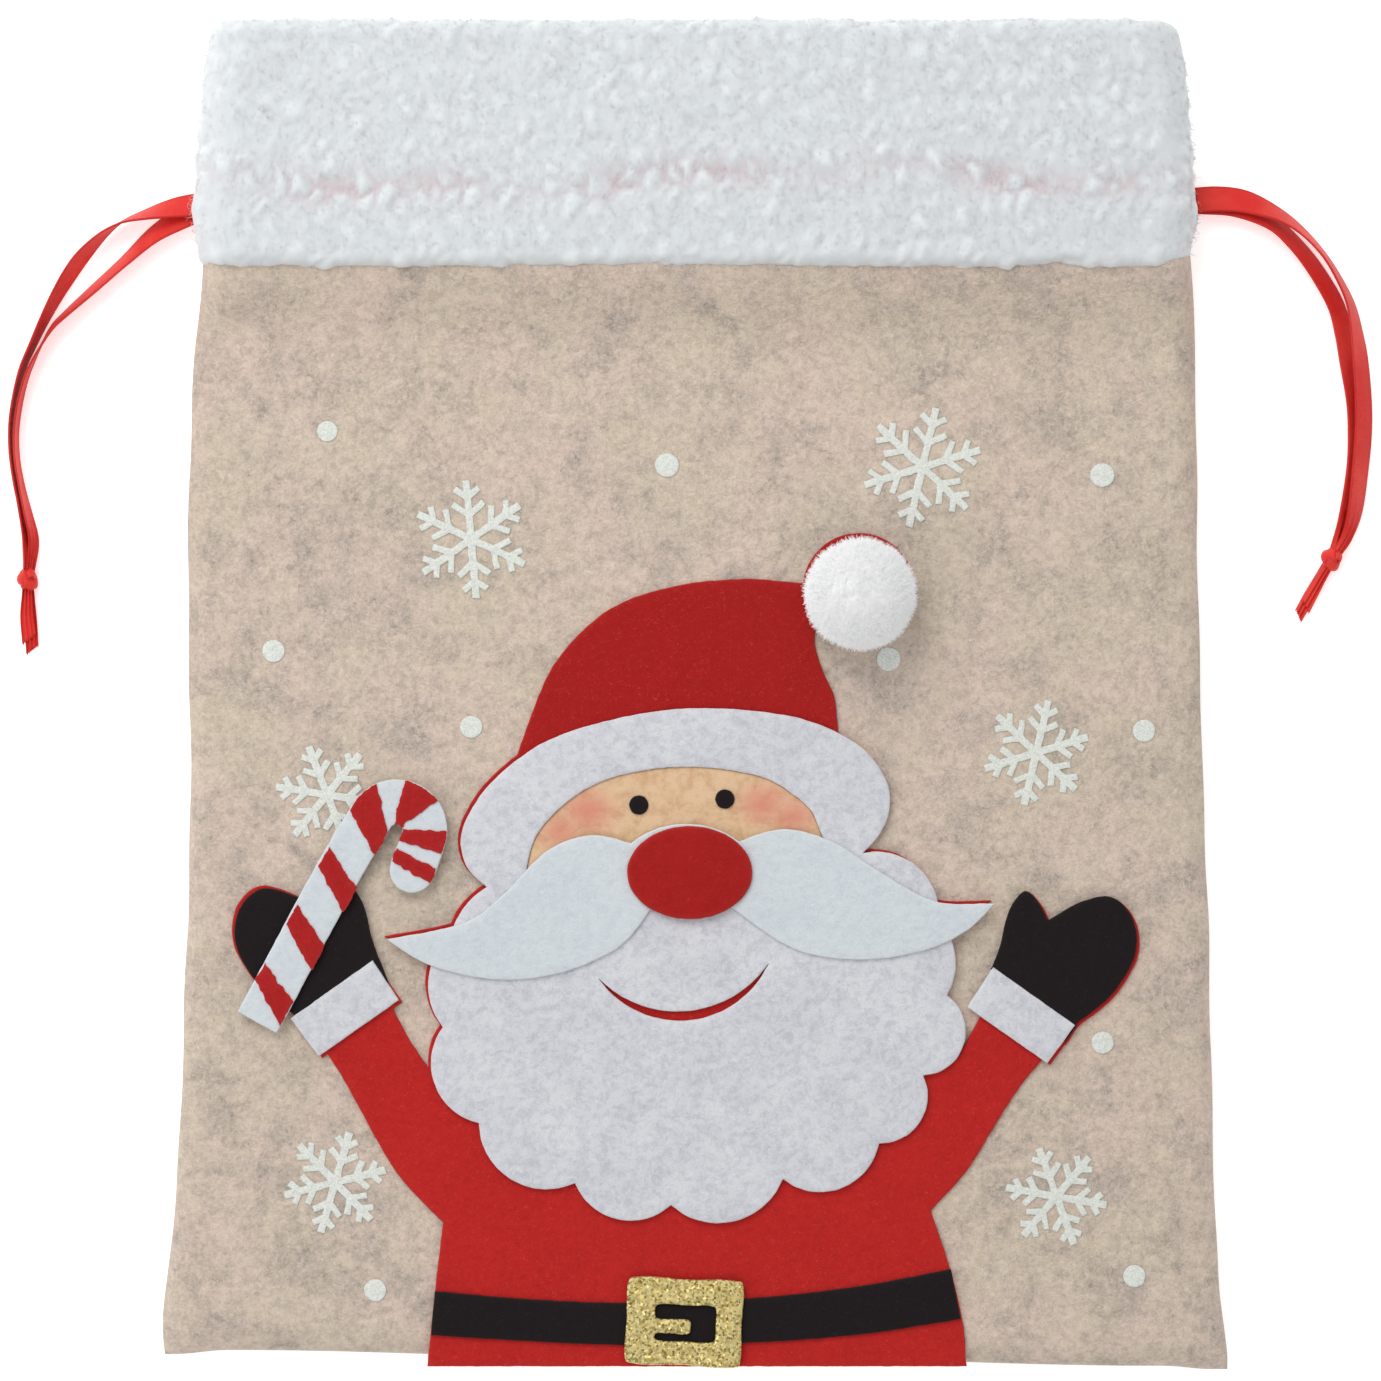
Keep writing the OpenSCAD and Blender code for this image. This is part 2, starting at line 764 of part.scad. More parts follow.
module snowflake_3() {
  snowflake(2);
}

module snowflake_4() {
  snowflake(3);
}

module snowflake_5() {
  snowflake(4);
}

module snowflake_6() {
  snowflake(5);
}

module snow_dots() {
  color([0.9, 0.91, 0.89])
    for (d = dots)
      translate(snow_place(d))
        cylinder(r = d[2], h = snow_t);
}

front_panel();
front_panel_top();
back_panel();
seam_thread_left();
seam_thread_right();
seam_thread_bottom();
cuff_back();
cuff_front();
cuff_side_left();
cuff_side_right();
cuff_seam_back();
cuff_seam_front();
channel_stitching_back();
channel_stitching_front();
ribbon_left_run();
ribbon_right_run();
ribbon_left_second_run();
ribbon_right_second_run();
ribbon_left_front_run();
ribbon_right_front_run();
ribbon_left_upper();
ribbon_left_lower();
ribbon_right_upper();
ribbon_right_lower();
knot_left();
knot_right();
figure_backing();
face();
eye_left();
eye_right();
beard_and_brim();
moustache();
nose();
sleeve_cuff_left();
sleeve_cuff_right();
mitten_left();
mitten_right();
candy_cane();
cane_stripes();
belt();
buckle();
pom_pom();
snowflake_1();
snowflake_2();
snowflake_3();
snowflake_4();
snowflake_5();
snowflake_6();
snow_dots();
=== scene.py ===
import bpy
import numpy as np
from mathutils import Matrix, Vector
from mathutils.geometry import delaunay_2d_cdt


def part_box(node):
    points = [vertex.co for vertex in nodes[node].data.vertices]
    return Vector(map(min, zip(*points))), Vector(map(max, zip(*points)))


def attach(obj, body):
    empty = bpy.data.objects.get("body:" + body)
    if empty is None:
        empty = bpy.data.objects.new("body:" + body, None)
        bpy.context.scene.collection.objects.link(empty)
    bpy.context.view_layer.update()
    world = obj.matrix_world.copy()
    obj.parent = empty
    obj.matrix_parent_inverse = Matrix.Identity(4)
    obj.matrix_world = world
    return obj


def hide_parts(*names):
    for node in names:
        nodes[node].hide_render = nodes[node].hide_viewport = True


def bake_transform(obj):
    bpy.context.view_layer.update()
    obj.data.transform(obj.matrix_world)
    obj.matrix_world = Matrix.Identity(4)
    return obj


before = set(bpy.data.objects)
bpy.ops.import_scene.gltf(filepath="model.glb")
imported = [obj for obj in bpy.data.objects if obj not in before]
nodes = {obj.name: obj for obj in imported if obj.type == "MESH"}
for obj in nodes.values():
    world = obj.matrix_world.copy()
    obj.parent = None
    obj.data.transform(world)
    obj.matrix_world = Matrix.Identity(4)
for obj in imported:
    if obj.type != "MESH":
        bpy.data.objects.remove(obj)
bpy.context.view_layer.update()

# All lengths here are millimetres, turned to metres as a mesh is made.
sack = {
    "hem": -166.0, "cuffLow": 108.0, "feltThick": 2.0, "faceHeight": 10.0, "seamHeight": 5.0,
    "roll": 7.0, "bendFrom": 78.0, "bendTo": 102.0, "wave": 0.8,
}
feltGrid = 2.0      # spacing of the points inside a felt piece


def lin(r, g, b):
    # a screen colour of 0-255 as linear light
    c = np.array([r, g, b]) / 255.0
    return [float(v) for v in np.where(c <= 0.04045, c / 12.92, ((c + 0.055) / 1.055) ** 2.4)] + [1.0]


def tone(name):
    # a colour of the colours dictionary as linear light
    return lin(*colours[name])


def smooth(a, b, x):
    # 0 below a, 1 above b, 3t^2 - 2t^3 between
    t = np.clip((x - a) / (b - a), 0, 1)
    return t * t * (3 - 2 * t)


def ripple(x, y):
    # height of the felt's slow waves: a few sines that fade towards the hem
    wave = (0.45 * np.sin(x / 27 + y / 61 + 0.7) + 0.35 * np.sin(y / 19 - x / 47 + 2.1)
            + 0.22 * np.sin(x / 11 + y / 17) * np.sin(y / 13 - x / 29 + 1.0))
    return wave * smooth(-175, -120, y) * sack["wave"]


def makeMesh(name, points, faces, material, uv=None, flat=False):
    # faces is one array of triangles or quads, or a list of such arrays; uv is per point
    rows = faces if isinstance(faces, list) else [faces]
    mesh = bpy.data.meshes.new(name)
    mesh.from_pydata((np.asarray(points) * 0.001).tolist(), [],
                     [f for r in rows for f in np.asarray(r).tolist()])
    if not flat:
        mesh.polygons.foreach_set("use_smooth", np.ones(len(mesh.polygons), bool))
    if uv is not None:
        corner = np.zeros(len(mesh.loops), np.int32)
        mesh.loops.foreach_get("vertex_index", corner)
        layer = mesh.uv_layers.new(name="along")
        layer.data.foreach_set("uv", np.asarray(uv, np.float32)[corner].reshape(-1))
    mesh.materials.append(material)
    obj = bpy.data.objects.new(name, mesh)
    bpy.context.scene.collection.objects.link(obj)
    return obj


def softNormals(obj, normals):
    # shading normals given per point, so fine hairs take the light like the surface they grow from
    way = normals / np.maximum(np.linalg.norm(normals, axis=1), 1e-9)[:, None]
    obj.data.normals_split_custom_set_from_vertices(way.tolist())


def gridFaces(rows, cols, wrapRows=False, wrapCols=False):
    # quads of a grid whose point (i, j) has number i * cols + j
    i = np.arange(rows if wrapRows else rows - 1)[:, None]
    j = np.arange(cols if wrapCols else cols - 1)[None, :]
    a, b = i * cols + j, i * cols + (j + 1) % cols
    c, d = (i + 1) % rows * cols + (j + 1) % cols, (i + 1) % rows * cols + j
    return np.stack([a, b, c, d], -1).reshape(-1, 4)


def cells(p, size, seed):
    # nearest and second nearest distance, and a random number per cell, of jittered cells of that size
    q = p / size
    base = np.floor(q).astype(np.int64)
    first = np.full(len(q), 9.0)
    second = np.full(len(q), 9.0)
    number = np.zeros(len(q))
    for o in np.stack(np.meshgrid([-1, 0, 1], [-1, 0, 1], [-1, 0, 1]), -1).reshape(-1, 3):
        c = base + o
        h = (c[:, 0] * 73856093) ^ (c[:, 1] * 19349663) ^ (c[:, 2] * 83492791) ^ (seed * 2654435761)
        h = (h ^ (h >> 13)) * 1274126177 & 0x7FFFFFFF
        jitter = np.stack([(h & 1023), (h >> 10) & 1023, (h >> 20) & 1023], -1) / 1023.0
        d = np.linalg.norm(q - c - jitter, axis=1)
        near = d < first
        second = np.where(near, first, np.minimum(second, d))
        number = np.where(near, (h % 997) / 997.0, number)
        first = np.where(near, d, first)
    return first, second, number


class Shader:
    # a short way to add shader nodes and join them
    def __init__(self, name):
        self.mat = bpy.data.materials.new(name)
        self.mat.use_nodes = True
        self.tree = self.mat.node_tree
        self.tree.nodes.clear()
        self.out = self.add("ShaderNodeOutputMaterial")
        self.skin = self.add("ShaderNodeBsdfPrincipled")
        self.join(self.skin.outputs[0], self.out.inputs["Surface"])
        self.place = self.add("ShaderNodeTexCoord").outputs["Object"]

    def add(self, kind, **values):
        node = self.tree.nodes.new(kind)
        for key, value in values.items():
            setattr(node, key, value)
        return node

    def join(self, a, b):
        self.tree.links.new(a, b)

    def noise(self, scale, detail=2.0, rough=0.5, place=None, distortion=0.0):
        n = self.add("ShaderNodeTexNoise")
        n.inputs["Scale"].default_value = scale
        n.inputs["Detail"].default_value = detail
        n.inputs["Roughness"].default_value = rough
        n.inputs["Distortion"].default_value = distortion
        self.join(place or self.place, n.inputs["Vector"])
        return n.outputs[0]

    def math(self, what, a, b=None, clamp=False):
        n = self.add("ShaderNodeMath", operation=what, use_clamp=clamp)
        for k, v in enumerate([a, b]):
            if v is None:
                continue
            if isinstance(v, (int, float)):
                n.inputs[k].default_value = v
            else:
                self.join(v, n.inputs[k])
        return n.outputs[0]

    def times(self, a, b):
        return self.math("MULTIPLY", a, b)

    def plus(self, a, b, clamp=False):
        return self.math("ADD", a, b, clamp)

    def ramp(self, a, low, high, outLow=0.0, outHigh=1.0):
        n = self.add("ShaderNodeMapRange", interpolation_type="SMOOTHSTEP")
        self.join(a, n.inputs[0])
        for k, v in enumerate([low, high, outLow, outHigh]):
            n.inputs[k + 1].default_value = v
        return n.outputs[0]

    def mix(self, factor, a, b):
        n = self.add("ShaderNodeMix", data_type="RGBA")
        for socket, v in ((n.inputs[0], factor), (n.inputs[6], a), (n.inputs[7], b)):
            if isinstance(v, (list, tuple, int, float)):
                socket.default_value = v
            else:
                self.join(v, socket)
        return n.outputs[2]

    def over(self, base, name, amount, share=None):
        # a named colour laid over the base by an amount, cut down by a share
        if share is not None:
            amount = self.times(amount, share)
        return self.mix(amount, base, tone(name))

    def warp(self, scale, amount):
        # Object coordinates pushed about by a coloured noise
        n = self.add("ShaderNodeTexNoise")
        n.inputs["Scale"].default_value = scale
        n.inputs["Detail"].default_value = 3.0
        self.join(self.place, n.inputs["Vector"])
        s = self.add("ShaderNodeVectorMath", operation="MULTIPLY_ADD")
        self.join(n.outputs["Color"], s.inputs[0])
        s.inputs[1].default_value = [amount] * 3
        self.join(self.place, s.inputs[2])
        return s.outputs[0]

    def bump(self, height, strength, distance, below=None):
        n = self.add("ShaderNodeBump")
        n.inputs["Strength"].default_value = strength
        n.inputs["Distance"].default_value = distance
        self.join(height, n.inputs["Height"])
        if below is not None:
            self.join(below, n.inputs["Normal"])
        return n.outputs[0]

    def finish(self, colour, normal=None, **values):
        if isinstance(colour, list):
            self.skin.inputs["Base Color"].default_value = colour
        else:
            self.join(colour, self.skin.inputs["Base Color"])
        if normal is not None:
            self.join(normal, self.skin.inputs["Normal"])
        names = {"rough": "Roughness", "metal": "Metallic", "sheen": "Sheen Weight",
                 "sheenRough": "Sheen Roughness", "specular": "Specular IOR Level",
                 "soft": "Subsurface Weight"}
        for key, value in values.items():
            self.skin.inputs[names[key]].default_value = value
        return self.mat


def hairLines(s, scale, width, seedShift):
    # thin broken squiggles: where a warped noise passes one half
    shifted = s.add("ShaderNodeVectorMath", operation="ADD")
    s.join(s.warp(scale * 0.45, 0.006), shifted.inputs[0])
    shifted.inputs[1].default_value = [seedShift, seedShift * 1.7, 0.0]
    n = s.noise(scale, 1.5, 0.5, shifted.outputs[0])
    line = s.ramp(s.math("ABSOLUTE", s.math("SUBTRACT", n, 0.5)), width * 0.35, width, 1.0, 0.0)
    broken = s.ramp(s.noise(scale * 0.8, 2, 0.6, shifted.outputs[0]), 0.5, 0.6)
    return s.times(line, broken)


def felt(name, base, dark, light, darkAmount, lightAmount, low=None, gloss=0.2, rimAmount=0.5):
    # cloudy mottling of two sizes, pale and dark fibres, a paler cut edge and a fuzzy bump; low is the
    # colour towards the hem, taken below y = -110 mm and blending into the base colour up to y = 0
    s = Shader(name)
    base, dark, light = (tone(k) for k in (base, dark, light))
    cloud = s.ramp(s.noise(430, 7, 0.76, s.warp(160, 0.005)), 0.42, 0.64)
    broad = s.ramp(s.noise(70, 4, 0.6), 0.35, 0.65)
    if low is not None:
        split = s.add("ShaderNodeSeparateXYZ")
        s.join(s.place, split.inputs[0])
        base = s.mix(s.ramp(split.outputs[1], -0.11, 0.0), tone(low), base)
    colour = s.mix(s.times(s.plus(s.times(cloud, 0.7), s.times(broad, 0.3)), darkAmount), base, dark)
    fibre = s.ramp(s.noise(1300, 4, 0.7, None, 1.6), 0.55, 0.72)
    colour = s.mix(s.times(fibre, lightAmount), colour, light)
    shade = s.ramp(s.noise(1100, 4, 0.7, s.warp(300, 0.003), 1.2), 0.54, 0.72)
    colour = s.mix(s.times(shade, lightAmount * 0.7), colour, dark)
    edge = s.add("ShaderNodeAttribute", attribute_name="edge").outputs["Fac"]
    colour = s.mix(s.times(edge, rimAmount), colour, light)
    fuzz = s.noise(2600, 5, 0.75, s.warp(420, 0.0012))
    lumps = s.noise(420, 4, 0.6)
    normal = s.bump(fuzz, 0.5, 0.0005, s.bump(lumps, 0.5, 0.0009))
    return s.finish(colour, normal, rough=0.95, sheen=gloss, sheenRough=0.5, specular=0.12)


def bodyFelt():
    # oatmeal felt: rose and oat ground, grey clouds, clustered dark wisps, pale fibres
    s = Shader("bodyFelt")
    slow = s.warp(45, 0.014)
    rose = s.ramp(s.noise(42, 5, 0.62, slow), 0.38, 0.62)
    base = s.mix(rose, tone("bodyOat"), tone("bodyFelt"))
    clouds = s.ramp(s.noise(85, 8, 0.66, slow), 0.43, 0.66)
    tufts = s.ramp(s.noise(300, 6, 0.7, s.warp(140, 0.008)), 0.42, 0.7)
    grey = s.plus(s.times(clouds, 0.42), s.times(tufts, 0.38))
    base = s.over(base, "bodyGrey", grey)
    grain = s.ramp(s.noise(520, 8, 0.82, s.warp(260, 0.003)), 0.44, 0.62)
    base = s.over(base, "bodyGrain", grain, 0.34)
    flock = s.ramp(s.noise(640, 8, 0.82, s.warp(300, 0.003), 0.5), 0.46, 0.62)
    base = s.over(base, "bodyLight", flock, 0.4)
    wisps = s.ramp(s.noise(560, 7, 0.8, s.warp(220, 0.005), 0.8), 0.53, 0.70)
    specks = s.ramp(s.noise(1250, 5, 0.8, s.warp(500, 0.002), 0.6), 0.50, 0.72)
    lines = s.plus(hairLines(s, 330, 0.03, 0.0), hairLines(s, 520, 0.045, 0.3), clamp=True)
    dark = s.plus(s.times(wisps, 0.6), s.times(lines, 0.26), clamp=True)
    dark = s.times(dark, s.plus(s.times(clouds, 0.8), 0.22))
    dark = s.plus(dark, s.times(specks, 0.17), clamp=True)
    base = s.over(base, "bodyHair", dark)
    pale = s.ramp(s.noise(1050, 6, 0.8, s.warp(360, 0.003), 1.0), 0.50, 0.70)
    base = s.over(base, "bodyLight", pale, 0.55)
    fuzz = s.noise(1700, 6, 0.75, s.warp(330, 0.002), 0.8)
    lumps = s.noise(150, 5, 0.62, slow)
    normal = s.bump(fuzz, 0.6, 0.0007, s.bump(lumps, 0.55, 0.002))
    return s.finish(base, normal, rough=0.97, sheen=0.15, sheenRough=0.5, specular=0.1)


# places across and up, and strength, of the blush spots
blushSpots = ((-26.8, -29.0, 1.0), (-33.5, -34.0, 0.85), (17.2, -27.2, 0.95), (24.5, -30.5, 0.9))


def faceFelt():
    # skin felt with soft round blushes: full at a spot's middle, none past a wavering edge
    s = Shader("faceFelt")
    patches = s.ramp(s.noise(260, 5, 0.7, s.warp(120, 0.006)), 0.4, 0.7)
    base = s.mix(patches, tone("skin"), tone("skinDark"))
    blush = None
    for x, y, wide in blushSpots:
        d = s.add("ShaderNodeVectorMath", operation="DISTANCE")
        flat = s.add("ShaderNodeVectorMath", operation="MULTIPLY")
        s.join(s.place, flat.inputs[0])
        flat.inputs[1].default_value = [1.0, 1.25, 0.0]
        s.join(flat.outputs[0], d.inputs[0])
        d.inputs[1].default_value = [x * 0.001, y * 0.00125, 0.0]
        near = s.ramp(s.plus(d.outputs["Value"], s.times(s.noise(500, 4, 0.7), 0.003)), 0.001,
                      0.0122 * wide, wide, 0.0)
        blush = near if blush is None else s.math("MAXIMUM", blush, near)
    base = s.over(base, "blush", blush, 0.8)
    normal = s.bump(s.noise(2600, 5, 0.75), 0.5, 0.0005, s.bump(s.noise(420, 4, 0.6), 0.4, 0.0008))
    return s.finish(base, normal, rough=0.95, sheen=0.12, specular=0.12)


def fleeceMaterial(name):
    # pale pile with light passing into it; painted shade in the creases, greyer streaks, and pink-grey
    # painted shade in the furrows along the channel, tinted by the red ribbon that shows through
    s = Shader(name)
    deep = s.add("ShaderNodeAttribute", attribute_name="creaseShade").outputs["Fac"]
    ribbonTintedShade = s.add("ShaderNodeAttribute", attribute_name="ribbonTintedShade").outputs["Fac"]
    # painted shade: the pile is greyer the deeper a point lies in a furrow
    base = s.mix(deep, tone("fleece"), tone("fleeceShade"))
    # pink-grey painted shade in the furrows along the channel, tinted by the red ribbon that shows
    # through the pile
    base = s.over(base, "fleecePink", ribbonTintedShade)
    long = s.add("ShaderNodeVectorMath", operation="MULTIPLY")
    s.join(s.warp(160, 0.004), long.inputs[0])
    long.inputs[1].default_value = [1.0, 0.4, 1.0]
    streaks = s.noise(420, 4, 0.6, long.outputs[0])
    base = s.mix(s.ramp(streaks, 0.42, 0.72, 0.0, 0.45), base, tone("fleeceShade"))
    loops = s.noise(1300, 4, 0.65, s.warp(600, 0.002))
    normal = s.bump(loops, 0.12, 0.0005, s.bump(streaks, 0.16, 0.001))
    s.skin.inputs["Subsurface Radius"].default_value = [1.0, 1.0, 1.0]
    s.skin.inputs["Subsurface Scale"].default_value = 0.0018
    return s.finish(base, normal, rough=0.95, sheen=0.2, sheenRough=0.5, specular=0.08, soft=0.6)


def yarn(name, colour, shade, sheen=0.4, glow=0.0):
    # fibres and thread: two close tones in soft patches; glow is painted light, a glow of the
    # material's own that stands in for the light scattered in dense fluff
    s = Shader(name)
    # painted light: an even white glow of the fibres' own
    s.skin.inputs["Emission Color"].default_value = [1.0, 1.0, 1.0, 1.0]
    s.skin.inputs["Emission Strength"].default_value = glow
    hue = s.mix(s.ramp(s.noise(240, 4, 0.65), 0.35, 0.7), tone(colour), tone(shade))
    return s.finish(hue, s.bump(s.noise(3000, 3, 0.6), 0.3, 0.0002), rough=0.9, sheen=sheen,
                    sheenRough=0.4, specular=0.15)


def satin():
    # painted long shine along the ribbon, fine ribs across it and a stitched edge on both sides
    s = Shader("satinRibbon")
    uv = s.add("ShaderNodeUVMap", uv_map="along")
    split = s.add("ShaderNodeSeparateXYZ")
    s.join(uv.outputs[0], split.inputs[0])
    across, along = split.outputs[0], split.outputs[1]
    edge = s.ramp(s.math("ABSOLUTE", s.math("SUBTRACT", across, 0.5)), 0.40, 0.46)
    ribs = s.math("SINE", s.times(along, 14.0))
    threads = s.math("SINE", s.times(across, 190.0))
    stitch = s.times(edge, s.math("SINE", s.times(along, 9.0)))
    # painted sheen: soft patches of paler red that stand in for the satin's shine
    paintedSheen = s.ramp(s.noise(60, 3, 0.6), 0.35, 0.7)
    base = s.mix(paintedSheen, tone("ribbon"), tone("ribbonSheen"))
    base = s.over(base, "ribbonDark", edge, 0.35)
    weave = s.plus(s.times(ribs, 0.3), s.plus(s.times(threads, 0.2), stitch))
    return s.finish(base, s.bump(weave, 0.25, 0.0002), rough=0.46, specular=0.2)


def glitter(name, base, light, scale, spread, metal, rough):
    # each cell is a flake that leans its own way and takes its own tone between the two colours; on the
    # gold the pale tones are painted glints, beside the real glints of the leaning flakes
    s = Shader(name)
    v = s.add("ShaderNodeTexVoronoi", feature="F1")
    v.inputs["Scale"].default_value = scale
    s.join(s.place, v.inputs["Vector"])
    split = s.add("ShaderNodeSeparateColor")
    s.join(v.outputs["Color"], split.inputs[0])
    lean = s.add("ShaderNodeVectorMath", operation="MULTIPLY_ADD")
    s.join(v.outputs["Color"], lean.inputs[0])
    lean.inputs[1].default_value = [spread] * 3
    lean.inputs[2].default_value = [-spread / 2] * 3
    total = s.add("ShaderNodeVectorMath", operation="ADD")
    s.join(s.add("ShaderNodeNewGeometry").outputs["Normal"], total.inputs[0])
    s.join(lean.outputs[0], total.inputs[1])
    unit = s.add("ShaderNodeVectorMath", operation="NORMALIZE")
    s.join(total.outputs[0], unit.inputs[0])
    # a tone per flake; on the gold the pale end is painted glint
    colour = s.mix(split.outputs[0], tone(base), tone(light))
    return s.finish(colour, unit.outputs[0], metal=metal, rough=rough)


colours = {
    "bodyFelt": (225, 203, 188), "bodyOat": (217, 200, 179), "bodyGrey": (156, 150, 140),
    "bodyLight": (236, 219, 205), "bodyHair": (100, 92, 86), "bodyGrain": (150, 138, 126),
    "fleece": (223, 227, 228), "fleeceShade": (212, 216, 218), "fleecePink": (208, 184, 188),
    "pom": (234, 234, 235), "pomShade": (226, 227, 228),
    "feltRed": (189, 38, 35), "feltRedDark": (166, 30, 28), "feltRedDeep": (132, 16, 20),
    "feltRedFibre": (216, 84, 76), "stripe": (172, 34, 34), "stripeDark": (150, 24, 28),
    "feltWhite": (217, 218, 222), "feltLilac": (184, 183, 194), "feltWhiteFibre": (234, 236, 238),
    "feltBright": (212, 219, 223), "feltBrightDark": (196, 203, 210),
    "feltBlack": (30, 24, 25), "feltBlackFibre": (62, 55, 57),
    "skin": (226, 192, 156), "skinDark": (206, 166, 128), "blush": (216, 128, 112),
    # ribbonSheen is the paler red of the painted sheen
    "ribbon": (214, 44, 38), "ribbonSheen": (230, 66, 56), "ribbonDark": (168, 22, 22),
    "gold": (158, 132, 56), "goldGlint": (254, 238, 170),
    "snow": (198, 202, 194), "snowLight": (228, 232, 225),
    "thread": (222, 212, 204), "threadShade": (204, 190, 180),
}

mats = {
    "body": bodyFelt(),
    "red": felt("redFelt", "feltRedDark", "feltRedDeep", "feltRedFibre", 0.24, 0.5, low="feltRed",
                gloss=0.05, rimAmount=0.25),
    "nose": felt("noseFelt", "feltRedDark", "feltRedDeep", "feltRedFibre", 0.3, 0.25, gloss=0.05,
                 rimAmount=0.3),
    "white": felt("whiteFelt", "feltWhite", "feltLilac", "feltWhiteFibre", 0.8, 0.65, rimAmount=0.6),
    "bright": felt("brightFelt", "feltBright", "feltBrightDark", "feltWhiteFibre", 0.7, 0.5,
                   rimAmount=0.6),
    "black": felt("blackFelt", "feltBlack", "feltBlack", "feltBlackFibre", 0.5, 0.4, gloss=0.03,
                  rimAmount=0.3),
    "face": faceFelt(),
    "fleece": fleeceMaterial("fleece"),
    "curl": yarn("fleeceCurl", "fleece", "fleeceShade", 0.1),
    # the pom-pom's fluff glows: painted light for the light scattered inside the ball
    "fluff": yarn("pomFluff", "pom", "pomShade", 0.1, 0.23),
    "satin": satin(),
    "satinInside": yarn("satinInside", "ribbon", "ribbonDark", 0.2),
    "gold": glitter("goldGlitter", "gold", "goldGlint", 2000, 1.3, 0.6, 0.4),
    "snow": glitter("snowFilm", "snow", "snowLight", 2600, 0.35, 0.0, 0.6),
    "stripe": felt("stripeFelt", "stripe", "stripeDark", "feltRedFibre", 0.5, 0.35, gloss=0.05),
    "thread": yarn("thread", "thread", "threadShade", 0.2),
}
print("stage: materials made")


def outlineLoops(node):
    # the closed outlines of the node's top face, as (n, 2) arrays in mm
    data = nodes[node].data
    data.calc_loop_triangles()
    co = np.zeros(len(data.vertices) * 3)
    data.vertices.foreach_get("co", co)
    co = co.reshape(-1, 3) * 1000
    tri = np.zeros(len(data.loop_triangles) * 3, np.int32)
    data.loop_triangles.foreach_get("vertices", tri)
    tri = tri.reshape(-1, 3)
    top = co[:, 2].max()
    tri = tri[(co[tri][:, :, 2] > top - 1e-3).all(1)]
    points, same = np.unique(np.round(co[:, :2], 3), axis=0, return_inverse=True)
    tri = same.reshape(-1)[tri]
    edges = np.concatenate([tri[:, [0, 1]], tri[:, [1, 2]], tri[:, [2, 0]]])
    known = {(int(a), int(b)) for a, b in edges}
    follow = {}
    for a, b in known:
        if (b, a) not in known:
            follow.setdefault(a, []).append(b)
    loops = []
    while follow:
        start = next(iter(follow))
        line, at = [start], start
        while at in follow:
            step = follow[at].pop()
            if not follow[at]:
                del follow[at]
            if step == start:
                break
            line.append(step)
            at = step
        if len(line) > 2:
            loops.append(points[line])
    return loops, top, co[:, 2].min()


def roundCorners(loop, cut):
    # each square corner becomes a small arc that starts and ends the cut's length from it
    before, after = np.roll(loop, 1, 0), np.roll(loop, -1, 0)
    backWay = (before - loop) / np.linalg.norm(before - loop, axis=1)[:, None]
    nextWay = (after - loop) / np.linalg.norm(after - loop, axis=1)[:, None]
    middle = loop + (backWay + nextWay) * 0.29 * cut
    arc = np.stack([loop + backWay * cut, middle, loop + nextWay * cut], 1).reshape(-1, 2)
    along = np.repeat(after - loop, 3, 0) * np.tile([0, 0, 1], len(loop))[:, None]
    far = arc + along * 0.5 * (1 - 2 * cut / np.maximum(np.linalg.norm(along, axis=1), 1e-9))[:, None]
    kept = np.tile([True, False, True, False, True, True], len(loop))
    return np.stack([arc, far], 1).reshape(-1, 2)[kept]


def soften(loop, step, rough=0.0, seed=1, corner=38.0):
    # Hermite curve through the loop's points that stays sharp where the turn is over the corner angle
    before, after = loop - np.roll(loop, 1, 0), np.roll(loop, -1, 0) - loop
    long = np.linalg.norm(after, axis=1)
    turn = np.abs(np.angle((after[:, 0] + 1j * after[:, 1]) / (before[:, 0] + 1j * before[:, 1])))
    way = before / np.linalg.norm(before, axis=1)[:, None] + after / long[:, None]
    way = way / np.maximum(np.linalg.norm(way, axis=1), 1e-9)[:, None]
    sharp = (turn > np.radians(corner))[:, None]
    u = after / long[:, None]
    m0 = np.where(sharp, u, way) * long[:, None]
    m1 = np.where(np.roll(sharp, -1, 0), u, np.roll(way, -1, 0)) * long[:, None]
    pieces = np.maximum(1, np.round(long / step)).astype(int)
    index = np.repeat(np.arange(len(loop)), pieces)
    start = np.cumsum(pieces) - pieces
    t = ((np.arange(len(index)) - start[index]) / pieces[index])[:, None]
    a, b = loop[index], np.roll(loop, -1, 0)[index]
    p = ((2 * t**3 - 3 * t**2 + 1) * a + (t**3 - 2 * t**2 + t) * m0[index]
         + (3 * t**2 - 2 * t**3) * b + (t**3 - t**2) * m1[index])
    if rough > 0:
        r = np.random.default_rng(seed)
        wander = r.normal(size=(len(p), 2))
        wander = wander + np.roll(wander, 1, 0) + np.roll(wander, -1, 0)
        p = p + rough * wander / 1.7
    return p


def insideOf(p, loops):
    # even-odd test of points against all loops
    odd = np.zeros(len(p), bool)
    for loop in loops:
        a, b = loop, np.roll(loop, -1, 0)
        for k in range(0, len(p), 4000):
            q = p[k:k + 4000]
            cross = (a[None, :, 1] > q[:, None, 1]) != (b[None, :, 1] > q[:, None, 1])
            slope = (b[:, 0] - a[:, 0]) / np.where(b[:, 1] == a[:, 1], 1e-12, b[:, 1] - a[:, 1])
            meets = a[None, :, 0] + slope[None] * (q[:, None, 1] - a[None, :, 1])
            odd[k:k + 4000] ^= ((cross & (q[:, None, 0] < meets)).sum(1) % 2).astype(bool)
    return odd


